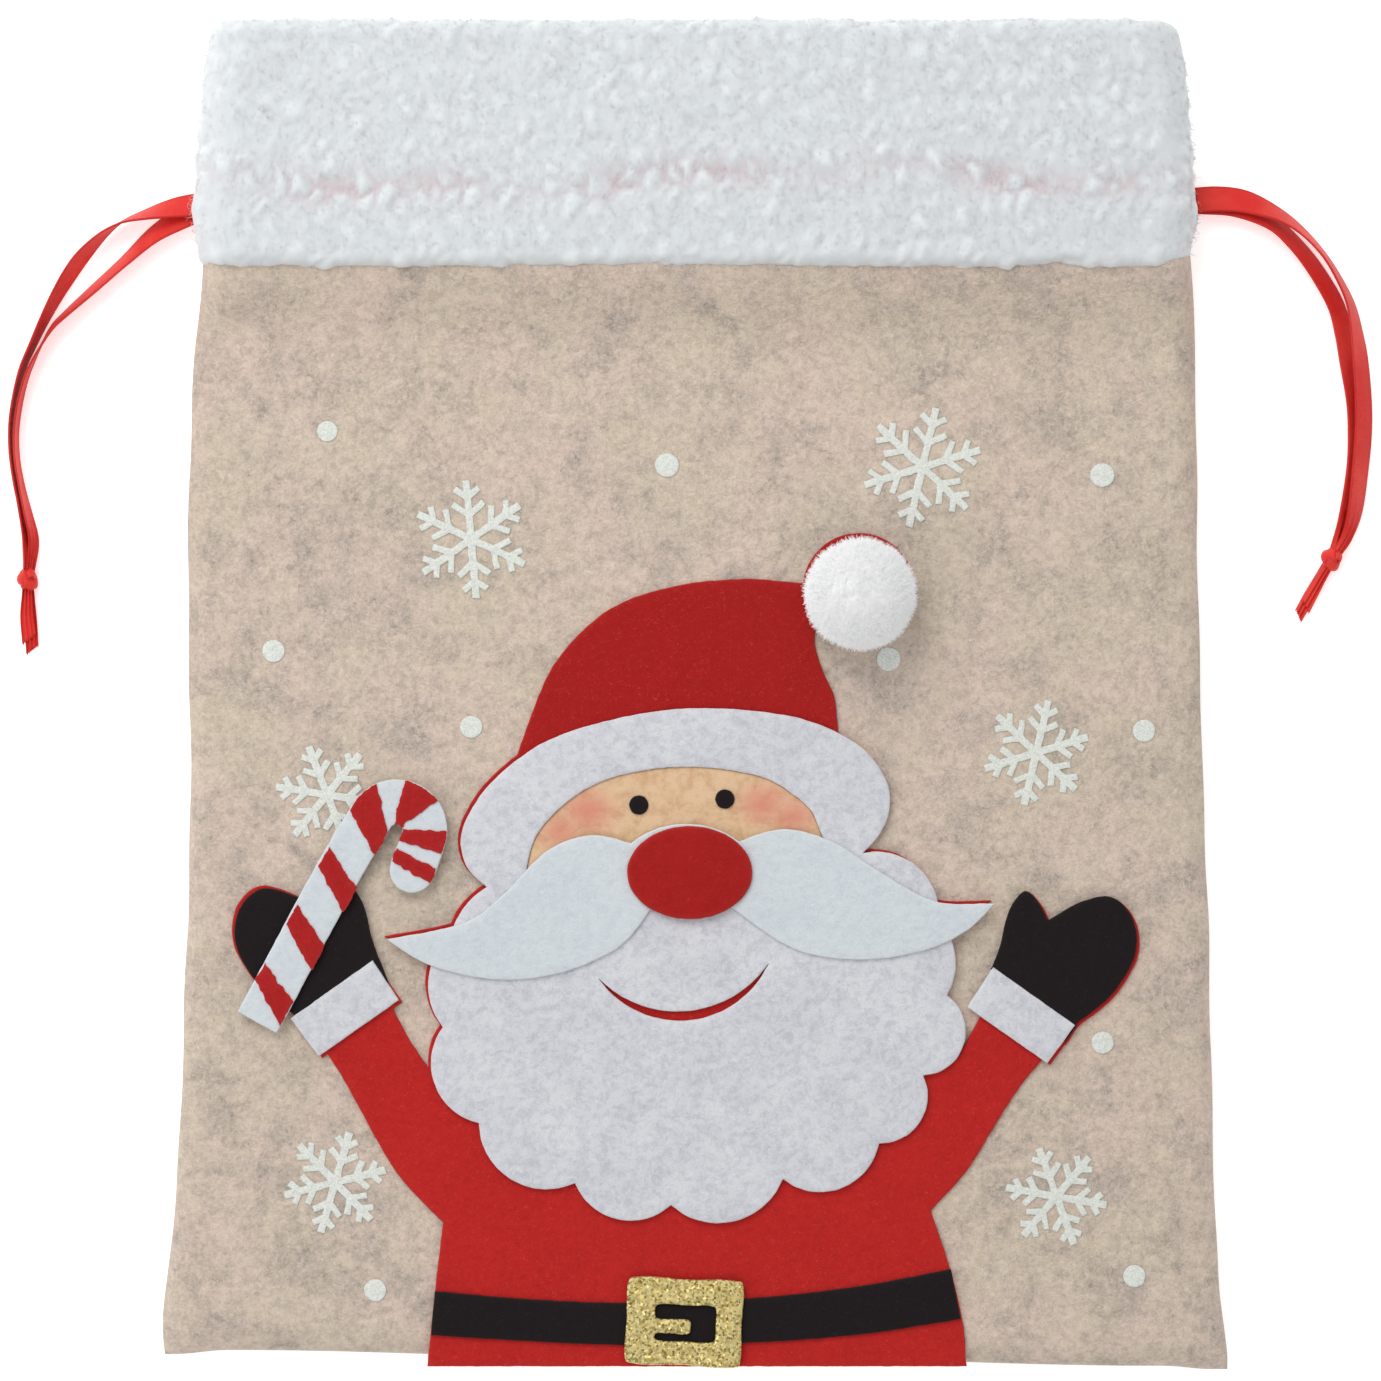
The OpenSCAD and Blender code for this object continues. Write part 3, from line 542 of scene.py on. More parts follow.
def inset(loop, d):
    # the loop moved to its left by d; its points are drawn together where a tight corner would turn
    # it inside out
    way = np.roll(loop, -1, 0) - np.roll(loop, 1, 0)
    way = way / np.maximum(np.linalg.norm(way, axis=1), 1e-9)[:, None]
    moved = loop + d * np.stack([-way[:, 1], way[:, 0]], -1)
    ahead = np.roll(loop, -1, 0) - loop
    for _ in range(30):
        reverse = ((np.roll(moved, -1, 0) - moved) * ahead).sum(1) < 0.02 * (ahead**2).sum(1)
        tight = (reverse | np.roll(reverse, 1))[:, None]
        moved = np.where(tight, (np.roll(moved, 1, 0) + 2 * moved + np.roll(moved, -1, 0)) / 4, moved)
    return moved


def feltPiece(name, node, material, body, slot, step=0.7, grid=feltGrid, rough=0.03, rim=0.4,
              thick=None, cut=0.0):
    # a plate with a rounded rim: the outline is carried up the rim profile and both faces are filled
    loops, high, low = outlineLoops(node)
    if thick:
        high = low + thick
    t = high - low
    corner = 38.0
    if cut:
        loops, corner = [roundCorners(c, cut) for c in loops], 60.0
    loops = [soften(c, step, rough, k + 1, corner) for k, c in enumerate(loops)]
    profile = [(0.5 * rim, 0.0), (0.0, 0.22), (0.0, 0.62), (0.3 * rim, 0.88), (rim, 1.0)]
    rings, faces, inner, outer, count = [], [], [], [], 0
    for c in loops:
        n = len(c)
        for o, h in profile:
            rings.append(np.column_stack([inset(c, o), np.full(n, low + h * t)]))
        faces.append(gridFaces(len(profile), n, wrapCols=True) + count)
        outer.append(np.arange(n) + count)
        inner.append(np.arange(n) + count + (len(profile) - 1) * n)
        count += n * len(profile)
    points = np.concatenate(rings)
    box = points[:, :2].min(0), points[:, :2].max(0)
    gx, gy = np.meshgrid(np.arange(box[0][0], box[1][0], grid),
                         np.arange(box[0][1], box[1][1], grid * 0.866))
    gx = gx + (np.arange(gx.shape[0]) % 2)[:, None] * grid / 2
    g = np.column_stack([gx.ravel(), gy.ravel()])
    g = g[insideOf(g, loops)]
    edge = np.concatenate(loops)
    if len(g):
        near = [np.sqrt(((g[k:k + 2000, None] - edge[None]) ** 2).sum(-1)).min(1)
                for k in range(0, len(g), 2000)]
        g = g[np.concatenate(near) > 1.1 * rim + 0.3]
    for side, ids, height in (("top", inner, high), ("foot", outer, low)):
        ring = np.concatenate(ids)
        flat = np.concatenate([points[ring, :2], g])
        links, start = [], 0
        for c in ids:
            k = np.arange(len(c)) + start
            links.append(np.column_stack([k, np.roll(k, -1)]))
            start += len(c)
        made = delaunay_2d_cdt([Vector(v) for v in flat.tolist()], np.concatenate(links).tolist(),
                               [], 0, 1e-5, True)
        where = np.array([v[:] for v in made[0]])
        tri = np.array(made[2])
        middle = where[tri].mean(1)
        tri = tri[insideOf(middle, [points[c, :2] for c in ids])]
        source = np.array([s[0] if len(s) else -1 for s in made[3]])
        fresh = np.column_stack([flat[len(ring):], np.full(len(g), height)])
        number = np.where(source < len(ring), ring[np.clip(source, 0, len(ring) - 1)],
                          source - len(ring) + len(points))
        extra = np.nonzero(source < 0)[0]
        if len(extra):
            number[extra] = len(points) + len(fresh) + np.arange(len(extra))
            added = np.column_stack([where[extra], np.full(len(extra), height)])
            fresh = np.concatenate([fresh, added])
        tri = number[tri]
        faces.append(tri if side == "top" else tri[:, ::-1])
        points = np.concatenate([points, fresh])
    points[:, 2] += ripple(points[:, 0], points[:, 1])
    obj = makeMesh(name, points, faces, material)
    edge = obj.data.attributes.new("edge", "FLOAT", "POINT")
    share = np.zeros(len(points), np.float32)
    share[:count] = np.concatenate([np.repeat([1.0, 1.0, 1.0, 0.7, 0.15], len(c)) for c in loops])
    edge.data.foreach_set("value", share)
    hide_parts(node)
    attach(obj, body)
    return obj


flatPieces = [
    ("backing", "figure_backing", "red", "felt_red", {}),
    ("faceFelt", "face", "face", "felt_skin", {"rough": 0.0}),
    ("beardAndBrim", "beard_and_brim", "white", "felt_white", {"step": 0.6}),
    ("moustacheFelt", "moustache", "bright", "felt_bright", {}),
    ("noseFelt", "nose", "nose", "felt_red", {"rim": 0.6}),
    ("sleeveCuffLeft", "sleeve_cuff_left", "white", "felt_white", {}),
    ("sleeveCuffRight", "sleeve_cuff_right", "white", "felt_white", {}),
    ("mittenLeft", "mitten_left", "black", "felt_black", {}),
    ("mittenRight", "mitten_right", "black", "felt_black", {}),
    ("caneFelt", "candy_cane", "bright", "felt_bright", {}),
    ("caneStripes", "cane_stripes", "stripe", "felt_red",
     {"rim": 0.15, "rough": 0.13, "step": 0.5, "grid": 1.5}),
    ("beltFelt", "belt", "black", "felt_black", {}),
    ("buckleFelt", "buckle", "gold", "glitter", {"rim": 0.25, "step": 0.6, "cut": 0.9}),
    ("eyeLeft", "eye_left", "black", "felt_black", {"rim": 0.35, "grid": 1.0}),
    ("eyeRight", "eye_right", "black", "felt_black", {"rim": 0.35, "grid": 1.0}),
    ("snowDots", "snow_dots", "snow", "snow", {"rim": 0.2, "grid": 1.5, "thick": 0.35}),
]
flatPieces += [(f"snowflake{k}", f"snowflake_{k}", "snow", "snow",
                {"rim": 0.2, "grid": 1.5, "rough": 0.06, "thick": 0.35}) for k in range(1, 7)]
for name, node, material, slotName, extra in flatPieces:
    feltPiece(name, node, mats[material], "root", slotName, **extra)
print("stage: felt pieces cut")


# half widths of the laid felt at heights up the sack: almost straight, flared at the hem
outline = {
    "up": [-170, -164, -157, -146, -128, -104, -80, -56, -20, 16, 52, 76, 88, 104, 120],
    "left": [132.6, 133.8, 134.0, 132.7, 131.0, 129.1, 128.3, 127.5, 127.0, 127.2, 127.3, 126.6,
             125.9, 124.0, 122.4],
    "right": [133.7, 134.5, 133.7, 131.8, 130.6, 129.9, 129.7, 129.4, 127.5, 126.7, 126.5, 126.0,
              125.5, 124.9, 123.8],
}


def bodyHalf(y, side):
    # half width on one side (-1 left, 1 right): smoothed outline table plus a soft waver
    fine = np.linspace(-172, 122, 295)
    rough = np.interp(fine, outline["up"], outline["left" if side < 0 else "right"])
    kernel = np.hanning(15) / np.hanning(15).sum()
    calm = np.convolve(np.pad(rough, 7, mode="edge"), kernel, mode="valid")
    return np.interp(y, fine, calm) + 0.22 * np.sin(y / 17 + 1 + side) + 0.16 * np.sin(y / 6.1 - side)


def edgeRound(d):
    # height share of a rolled edge at distance d in from it: a quarter circle
    return np.sqrt(np.clip(1 - (1 - np.clip(d / sack["roll"], 0, 1)) ** 2, 0, 1))


def spaced(a, b, step, tight, zone):
    # places from a to b, close together within the zone at both ends
    e = zone * (1 - np.cos(np.linspace(0, np.pi / 2, tight + 1)))
    return np.concatenate([a + e, np.arange(a + zone + step, b - zone, step), (b - e)[::-1]])


def rimLoop(rows, cols):
    # numbers of a grid's border points in order, and of the point after each
    border = np.concatenate([np.arange(cols), np.arange(1, rows) * cols + cols - 1,
                             (rows - 1) * cols + np.arange(cols - 2, -1, -1),
                             np.arange(rows - 2, 0, -1) * cols])
    return border, np.roll(border, -1)


def bodySheet(name, front):
    # outer and inner faces of one felt panel, joined round the edge
    ys = np.concatenate([sack["hem"] + sack["roll"] * (1 - np.cos(np.linspace(0, np.pi / 2, 9))),
                         np.arange(sack["hem"] + sack["roll"] + 1.8, sack["cuffLow"] + 8, 1.8)])
    us = spaced(-1.0, 1.0, 0.0145, 9, sack["roll"] / 128.0)
    v, u = np.meshgrid(ys, us, indexing="ij")
    half = np.where(u < 0, bodyHalf(v, -1), bodyHalf(v, 1))
    x = u * half
    hemLine = (sack["hem"] + 0.9 - 3.4 * smooth(-145, 145, x) + 0.4 * np.sin(x / 23)
               - 0.9 * smooth(118, 130, np.abs(x)))
    y = v + (hemLine - sack["hem"]) * (1 - smooth(-166, -100, v))
    round2 = edgeRound(half - np.abs(x)) * edgeRound(v - sack["hem"])
    t = sack["feltThick"]
    if front:
        rise = 8.0 * smooth(86, 110, y)
        drop = (sack["faceHeight"] - sack["seamHeight"]) * round2
        outerZ = sack["seamHeight"] + drop + rise * round2 + ripple(x, y) * round2
        innerZ = outerZ - t * (0.15 + 0.85 * round2)
        lo, hi = innerZ, outerZ
    else:
        rise = 3.5 * smooth(98, 108, y)
        outerZ = sack["seamHeight"] * (1 - round2) + rise * round2
        innerZ = outerZ + t * (0.15 + 0.85 * round2)
        lo, hi = outerZ, innerZ
    shape = x.shape
    pointsTop = np.stack([x, y, hi], -1).reshape(-1, 3)
    pointsFoot = np.stack([x, y, lo], -1).reshape(-1, 3)
    count = len(pointsTop)
    faces = gridFaces(*shape)
    border, after = rimLoop(*shape)
    rimFaces = np.column_stack([border, border + count, after + count, after])
    obj = makeMesh(name, np.concatenate([pointsTop, pointsFoot]),
                   [faces[:, ::-1], faces + count, rimFaces[:, ::-1]], mats["body"])
    return obj


def outwards(obj):
    # turns the faces so that the mesh's volume is positive
    data = obj.data
    data.calc_loop_triangles()
    co = np.zeros(len(data.vertices) * 3)
    data.vertices.foreach_get("co", co)
    tri = np.zeros(len(data.loop_triangles) * 3, np.int32)
    data.loop_triangles.foreach_get("vertices", tri)
    p = co.reshape(-1, 3)[tri.reshape(-1, 3)]
    if np.einsum("ij,ij->", p[:, 0], np.cross(p[:, 1], p[:, 2])) < 0:
        data.flip_normals()
    return obj


frontSheet = outwards(bodySheet("sackFront", True))
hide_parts("front_panel", "front_panel_top")
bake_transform(frontSheet)
backSheet = outwards(bodySheet("sackBack", False))
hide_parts("back_panel")
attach(backSheet, "root")


def gusset(side):
    # a narrow closed strip along the side seam
    y = np.linspace(80, 118, 40)
    z = np.linspace(4.2, 6.0, 7)
    yy, zz = np.meshgrid(y, z, indexing="ij")
    outer = side * (bodyHalf(yy, side) - 0.9)
    inner = side * (bodyHalf(yy, side) - 2.6)
    a = np.stack([outer, yy, zz], -1).reshape(-1, 3)
    b = np.stack([inner, yy, zz], -1).reshape(-1, 3)
    n = len(a)
    f = gridFaces(*yy.shape)
    border, after = rimLoop(*yy.shape)
    obj = makeMesh("sideGussetLeft" if side < 0 else "sideGussetRight", np.concatenate([a, b]),
                   [f, f[:, ::-1] + n, np.column_stack([border, border + n, after + n, after])],
                   mats["body"])
    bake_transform(outwards(obj))
    return obj


gusset(-1)
gusset(1)
print("stage: felt body made")


cuff = {
    "wall": 4.0, "midBack": 4.0, "midFront": 17.0, "low": 106.3, "high": 168.0,
    "around": 640, "up": 152, "nub": 5.0, "nubRise": 0.85, "seamHeight": 127.5,
    "hairLong": 2.0, "hairThick": 0.055,
    # heights, and the cuff's half width at each
    "halfAt": [106, 121, 136, 152, 168], "half": [123.4, 126.2, 124.2, 123.4, 121.2],
}


def cuffSurface(a, b):
    # a is the share of the way round the mouth, a long ring of two straights and two half circles,
    # and b the share round the wall's own profile, a ring of the same kind stood on end; gives the
    # points, their outward normals, and how far each looks out of the mouth, 1 outside to -1 inside
    y0, y1, w = cuff["low"], cuff["high"], cuff["wall"]
    long = y1 - y0 - 2 * w
    s = b * (2 * long + 2 * np.pi * w)
    bend, back = s - long, s - 2 * long - np.pi * w     # arc lengths past the start of each turn
    part = [s < long, s < long + np.pi * w, s < 2 * long + np.pi * w]
    out = np.select(part, [np.ones_like(s), np.cos(bend / w), -np.ones_like(s)], -np.cos(back / w))
    up = np.select(part, [y0 + w + s, y1 - w + w * np.sin(bend / w), y1 - w - (bend - np.pi * w)],
                   y0 + w - w * np.sin(back / w))
    rise = np.select(part, [np.zeros_like(s), np.sin(bend / w), np.zeros_like(s)], -np.sin(back / w))
    half = np.interp(up, cuff["halfAt"], cuff["half"])
    low, r = cuff["midBack"], (cuff["midFront"] - cuff["midBack"]) / 2
    straight = 2 * (half - r - w)
    turn = np.pi * r
    way = a * (2 * straight + 2 * turn)
    side = [way < straight, way < straight + turn, way < 2 * straight + turn]
    right, left = (way - straight) / r, (way - 2 * straight - turn) / r     # angles round the two ends
    zero, one = np.zeros_like(way), np.ones_like(way)
    x = np.select(side, [way - straight / 2, straight / 2 + r * np.sin(right),
                         straight / 2 - (way - straight - turn)],
                  -straight / 2 - r * np.sin(left))
    nx = np.select(side, [zero, np.sin(right), zero], -np.sin(left))
    nz = np.select(side, [one, np.cos(right), -one], -np.cos(left))
    z = low + r + r * nz
    puff = 0.9 + 0.1 * np.sin((up - y0) / (y1 - y0) * np.pi)
    point = np.stack([x + nx * w * out * puff, up, z + nz * w * out * puff], -1)
    normal = np.stack([nx * out, rise, nz * out], -1)
    normal /= np.maximum(np.linalg.norm(normal, axis=-1), 1e-9)[..., None]
    return point, normal, out


def seamBand(p):
    # how near a point lies to the wandering, broken line of the channel's stitching, 0 to 1
    line = cuff["seamHeight"] + 2.4 * np.sin(p[:, 0] / 31 + 0.4) + 1.3 * np.sin(p[:, 0] / 9.5 + 2)
    broken = 0.35 + 0.65 * smooth(-0.5, 0.6, np.sin(p[:, 0] / 13 + 1.7) + 0.7 * np.sin(p[:, 0] / 5.3))
    return np.exp(-((p[:, 1] - line) / 3.6) ** 2) * broken


def fleeceShape(p, n, out):
    # soft nubs parted by shallow furrows, finer lumps over them, a pinched band at the channel, and
    # nothing under the floor; gives the points, how deep in a furrow each lies, and the share of
    # pink-grey painted shade in the furrows along the channel, tinted by the red ribbon that shows
    # through
    calm = p * [1.0, 0.8, 1.0]
    f1, f2, number = cells(calm + 0.9 * np.sin(p[:, [1, 2, 0]] / 2.3), cuff["nub"], 3)
    nub = smooth(0.0, 0.8, f2 - f1)
    g1, g2, small = cells(calm + 0.7 * n, 2.4, 9)
    bead = smooth(0.0, 0.6, g2 - g1)
    slow = np.sqrt(np.clip(1 - cells(p + 2 * n, 10.0, 15)[0] ** 2, 0, 1))
    band = seamBand(p) * np.clip(out, 0, 1)
    rise = (cuff["nubRise"] * nub * (0.35 + 0.8 * number) + 0.16 * bead * (0.4 + small)
            + 1.1 * slow - 1.2 - 0.8 * band * (1.15 - nub))
    q = p + n * rise[:, None]
    q[:, 2] = np.maximum(q[:, 2], 0.02)
    deep = np.clip(0.85 - 0.85 * nub, 0, 1)
    return q, deep, band * (1 - smooth(0.0, 0.4, f2 - f1))


aGrid, bGrid = np.meshgrid(np.arange(cuff["around"]) / cuff["around"],
                           np.arange(cuff["up"]) / cuff["up"], indexing="ij")
p, n, out = cuffSurface(aGrid.ravel(), bGrid.ravel())
shaped, deep, valley = fleeceShape(p, n, out)
cuffFaces = gridFaces(cuff["around"], cuff["up"], True, True)
cuffMesh = outwards(makeMesh("fleeceCuff", shaped, cuffFaces, mats["fleece"]))
# painted shade in the furrows: each point's share of the shade colour, from its depth in a furrow
creaseShade = cuffMesh.data.attributes.new("creaseShade", "FLOAT", "POINT")
creaseShade.data.foreach_set("value", np.clip(deep, 0, 1).astype(np.float32))
# pink-grey painted shade in the channel's furrows, tinted by the red ribbon inside, only where the cuff
# stands over 14 mm high
ribbonTintedShade = cuffMesh.data.attributes.new("ribbonTintedShade", "FLOAT", "POINT")
pinkish = np.clip(valley, 0, 1) * 0.7 * (p[:, 2] > 14)
ribbonTintedShade.data.foreach_set("value", pinkish.astype(np.float32))
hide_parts("cuff_back", "cuff_front", "cuff_side_left", "cuff_side_right")
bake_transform(cuffMesh)


def fibres(name, root, way, length, curl, radius, material, seed, segments=4, normals=None):
    # three-sided hairs from their roots, each turning by its curl about a random axis
    r = np.random.default_rng(seed)
    count = len(root)
    axis = np.cross(way, r.normal(size=(count, 3)))
    axis /= np.linalg.norm(axis, axis=1)[:, None]
    d, at, rings = way.copy(), root.copy(), []
    step = length / segments
    for k in range(segments + 1):
        side = np.cross(d, axis)
        thin = radius * (1 - 0.5 * k / segments)
        for j in range(3):
            q = 2 * np.pi * j / 3
            rings.append(at + thin[:, None] * (np.cos(q) * axis + np.sin(q) * side))
        at = at + d * step[:, None]
        c, s = np.cos(curl / segments)[:, None], np.sin(curl / segments)[:, None]
        d = d * c + np.cross(axis, d) * s
        axis = axis + 0.25 * d
        axis /= np.linalg.norm(axis, axis=1)[:, None]
        axis -= d * (axis * d).sum(1)[:, None]
        axis /= np.linalg.norm(axis, axis=1)[:, None]
    points = np.stack(rings, 1).reshape(-1, 3)
    size = 3 * (segments + 1)
    one = gridFaces(segments + 1, 3, wrapCols=True)
    many = (one[None] + size * np.arange(count)[:, None, None]).reshape(-1, 4)
    caps = np.array([[2, 1, 0], [size - 3, size - 2, size - 1]])
    ends = (caps[None] + size * np.arange(count)[:, None, None]).reshape(-1, 3)
    points[:, 2] = np.maximum(points[:, 2], 0.01)
    obj = makeMesh(name, points, [many, ends], material)
    if normals is not None:
        softNormals(obj, np.repeat(normals, size, 0))
    return obj


def cuffCurls(name, count, seed, spans, body=None):
    # curled fibres over the outside of the cuff, within the given shares of the way round the
    # mouth; they ride on a body, or are baked in place when none is given
    r = np.random.default_rng(seed)
    start, end = np.array(spans).T
    ends = np.cumsum(end - start)
    a = r.uniform(0, 1, count) * ends[-1]
    which = np.minimum(np.searchsorted(ends, a), len(ends) - 1)
    a = a - ends[which] + end[which]
    b = r.uniform(0, 0.45, count)
    p, n, out = cuffSurface(a % 1.0, b)
    q = fleeceShape(p, n, out)[0]
    way = n + [0.0, -0.35, 0.0] + 0.55 * r.normal(size=n.shape)
    way /= np.linalg.norm(way, axis=1)[:, None]
    obj = fibres(name, q - 0.3 * n, way, cuff["hairLong"] * r.uniform(0.6, 1.4, count),
                 r.uniform(0.8, 4.0, count), np.full(count, cuff["hairThick"]), mats["curl"], seed,
                 normals=n)
    if body:
        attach(obj, body)
    else:
        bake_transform(obj)


cuffCurls("frontCurlsLeft", 5200, 5, [(0.0, 0.23)], "mouth_front")
cuffCurls("frontCurlsRight", 5200, 6, [(0.23, 0.459)], "mouth_front")
cuffCurls("sideCurls", 1600, 8, [(0.459, 0.5), (0.959, 1.0)])
cuffCurls("backCurls", 5200, 7, [(0.5, 0.959)], "root")


stitch = {"long": 3.0, "pitch": 4.2, "thick": 0.35, "rows": (118.5, 128.5), "half": 114.0}


def stitchRows(name, node, rows, height, body):
    # rows of short round stitches lying in the fleece, each with closed rounded ends
    x = np.arange(-stitch["half"], stitch["half"], stitch["pitch"])
    x0, y0 = (v.ravel() for v in np.meshgrid(x, np.array(rows)))
    t = np.array([-1.0, -0.94, -0.7, 0.0, 0.7, 0.94, 1.0])
    r = stitch["thick"] * np.array([0.02, 0.6, 1, 1, 1, 0.6, 0.02])
    q = np.arange(6) * np.pi / 3
    along = x0[:, None, None] + (t * stitch["long"] / 2)[None, :, None] + 0 * q
    over = y0[:, None, None] + (r[:, None] * np.cos(q))[None]
    sink = 0.3 * (t**2)[:, None] * np.sign(height - 10)
    up = height + (r[:, None] * np.sin(q) - sink)[None] + 0 * x0[:, None, None]
    points = np.stack([along, over, up], -1).reshape(-1, 3)
    one = gridFaces(7, 6, wrapCols=True)
    faces = (one[None] + 42 * np.arange(len(x0))[:, None, None]).reshape(-1, 4)
    caps = np.stack([np.arange(6)[::-1], np.arange(36, 42)])
    ends = (caps[None] + 42 * np.arange(len(x0))[:, None, None]).reshape(-1, 6)
    obj = outwards(makeMesh(name, points, [faces, ends], mats["thread"]))
    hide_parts(node)
    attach(obj, body)


def seamPlace(node):
    # height up the sack and above the floor of a seam's middle
    low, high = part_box(node)
    return [500 * (low[1] + high[1])], 500 * (low[2] + high[2])


stitchRows("channelStitchFront", "channel_stitching_front", stitch["rows"], 18.2, "mouth_front")
stitchRows("channelStitchBack", "channel_stitching_back", stitch["rows"], 1.5, "root")
stitchRows("cuffSeamFront", "cuff_seam_front", *seamPlace("cuff_seam_front"), "mouth_front")
stitchRows("cuffSeamBack", "cuff_seam_back", *seamPlace("cuff_seam_back"), "root")
print("stage: cuff made")


pom = {
    "radius": 13.5, "core": 11.8, "lump": 0.35, "floor": 10.6, "root": 11.5,
    "hairs": 10500, "hairThick": 0.06, "hairLong": 2.2, "tuft": 0.8, "stray": 0.75,
}


def pomPom():
    # a lumpy ball, its radius swelling by a half circle over each cell, under three coats of hair
    # that grow outwards from random places, each with a stray of its own
    low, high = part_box("pom_pom")
    centre = np.array([500 * (low[0] + high[0]), 500 * (low[1] + high[1]),
                       1000 * high[2] - pom["radius"]])
    t, q = np.meshgrid(np.linspace(0, np.pi, 41), np.arange(80) * 2 * np.pi / 80, indexing="ij")
    way = np.stack([np.sin(t) * np.cos(q), np.sin(t) * np.sin(q), np.cos(t)], -1)
    ball = way.reshape(-1, 3)
    f1, _, number = cells(ball * 10, 3.2, 21)
    radius = pom["core"] + pom["lump"] * np.sqrt(np.clip(1 - f1**2, 0, 1)) * (0.4 + number)
    inner = centre + ball * radius[:, None]
    inner = np.concatenate([[centre + [0, 0, radius[0]]], inner.reshape(41, 80, 3)[1:-1].reshape(-1, 3),
                            [centre - [0, 0, pom["core"] + 0.2]]])
    faces = gridFaces(39, 80, wrapCols=True) + 1
    k = np.arange(80)
    topFan = np.column_stack([np.zeros(80, int), 1 + (k + 1) % 80, 1 + k])
    last = 1 + 38 * 80
    footFan = np.column_stack([np.full(80, len(inner) - 1), last + k, last + (k + 1) % 80])
    inner[:, 2] = np.maximum(inner[:, 2], pom["floor"])
    core = outwards(makeMesh("pomCore", inner, [faces, topFan, footFan], mats["fluff"]))
    softNormals(core, inner - centre + [0, 0, 24.0])
    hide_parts("pom_pom")
    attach(core, "root")
    for k, seed in enumerate((31, 32, 33)):
        r = np.random.default_rng(seed)
        d = r.normal(size=(pom["hairs"], 3))
        d /= np.linalg.norm(d, axis=1)[:, None]
        d = d[d[:, 2] > -0.72]
        tuft = cells(d * 10, 2.6, 77)[2]
        way = d + pom["stray"] * r.normal(size=d.shape)
        way /= np.linalg.norm(way, axis=1)[:, None]
        hairs = fibres(f"pomHair{k + 1}", centre + d * pom["root"], way,
                       pom["hairLong"] + pom["tuft"] * tuft + r.uniform(-0.5, 0.8, len(d)),
                       r.uniform(0.4, 1.8, len(d)), np.full(len(d), pom["hairThick"]), mats["fluff"],
                       seed, 3, normals=d + [0, 0, 2.4])
        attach(hairs, "root")


pomPom()
print("stage: pom-pom made")


def smoothPath(keys, step=0.8):
    # Catmull-Rom through the rows of keys, evenly spaced along the first three columns
    k = np.asarray(keys, float)
    ext = np.concatenate([[2 * k[0] - k[1]], k, [2 * k[-1] - k[-2]]])
    t = np.linspace(0, 1, 24, endpoint=False)[:, None]
    rows = []
    for a, b, c, d in zip(ext[:-3], ext[1:-2], ext[2:-1], ext[3:]):
        rows.append(0.5 * (2 * b + (c - a) * t + (2 * a - 5 * b + 4 * c - d) * t**2
                           + (3 * b - a - 3 * c + d) * t**3))
    line = np.concatenate(rows + [k[-1:]])
    long = np.concatenate([[0], np.cumsum(np.linalg.norm(np.diff(line[:, :3], axis=0), axis=1))])
    at = np.linspace(0, long[-1], int(long[-1] / step) + 2)
    return np.stack([np.interp(at, long, line[:, c]) for c in range(line.shape[1])], -1), at


def ribbonStrip(name, keys, width, thick, cup, slant):
    # keys are x, y, z, the turn about its way in degrees, 0 lying flat, and the share of its width
    # left by folding; across it the height is a flat arch, cup (1/4 - u^2), with pleats where folded
    line, at = smoothPath(keys)
    p, turn, fold = line[:, :3], np.radians(line[:, 3]), line[:, 4]
    way = np.gradient(p, axis=0)
    way /= np.linalg.norm(way, axis=1)[:, None]
    side = np.cross([0, 0, 1.0], way)
    side /= np.linalg.norm(side, axis=1)[:, None]
    up = np.cross(way, side)
    across = side * np.cos(turn)[:, None] + up * np.sin(turn)[:, None]
    over = np.cross(way, across)
    u = np.linspace(-0.5, 0.5, 15)
    pleat = (1 - fold)[:, None] * 0.9 * np.cos(u * 6 * np.pi)[None]
    sag = cup * width * (0.25 - u**2)[None] * fold[:, None] + pleat
    bead = thick * (0.5 + 0.35 * smooth(0.40, 0.46, np.abs(u)))
    cut = smooth(at[-1] - 5, at[-1], at)[:, None] * (slant * u + 0.35 * np.sin(u * 47))[None]
    middle = (p[:, None] + across[:, None] * (u * width)[None, :, None] * fold[:, None, None]
              + way[:, None] * cut[..., None])
    top = middle + over[:, None] * (sag + bead)[..., None]
    foot = middle + over[:, None] * (sag - bead)[..., None]
    ring = np.concatenate([top, foot[:, ::-1]], 1)
    rows, cols = ring.shape[:2]
    points = ring.reshape(-1, 3)
    points[:, 2] = np.maximum(points[:, 2], 0.03)
    uv = np.stack([np.tile(np.concatenate([u, u[::-1]]) + 0.5, rows), np.repeat(at, cols)], -1)
    half = cols // 2
    strips = np.arange(half - 1)
    cap = np.column_stack([strips, strips + 1, cols - 2 - strips, cols - 1 - strips])
    faces = [gridFaces(rows, cols, wrapCols=True), cap[:, ::-1], cap + (rows - 1) * cols]
    obj = outwards(makeMesh(name, points, faces, mats["satin"], uv))
    return obj, p


ribbon = {"width": 6.3, "thick": 0.32, "cup": 0.12, "slant": 2.2}
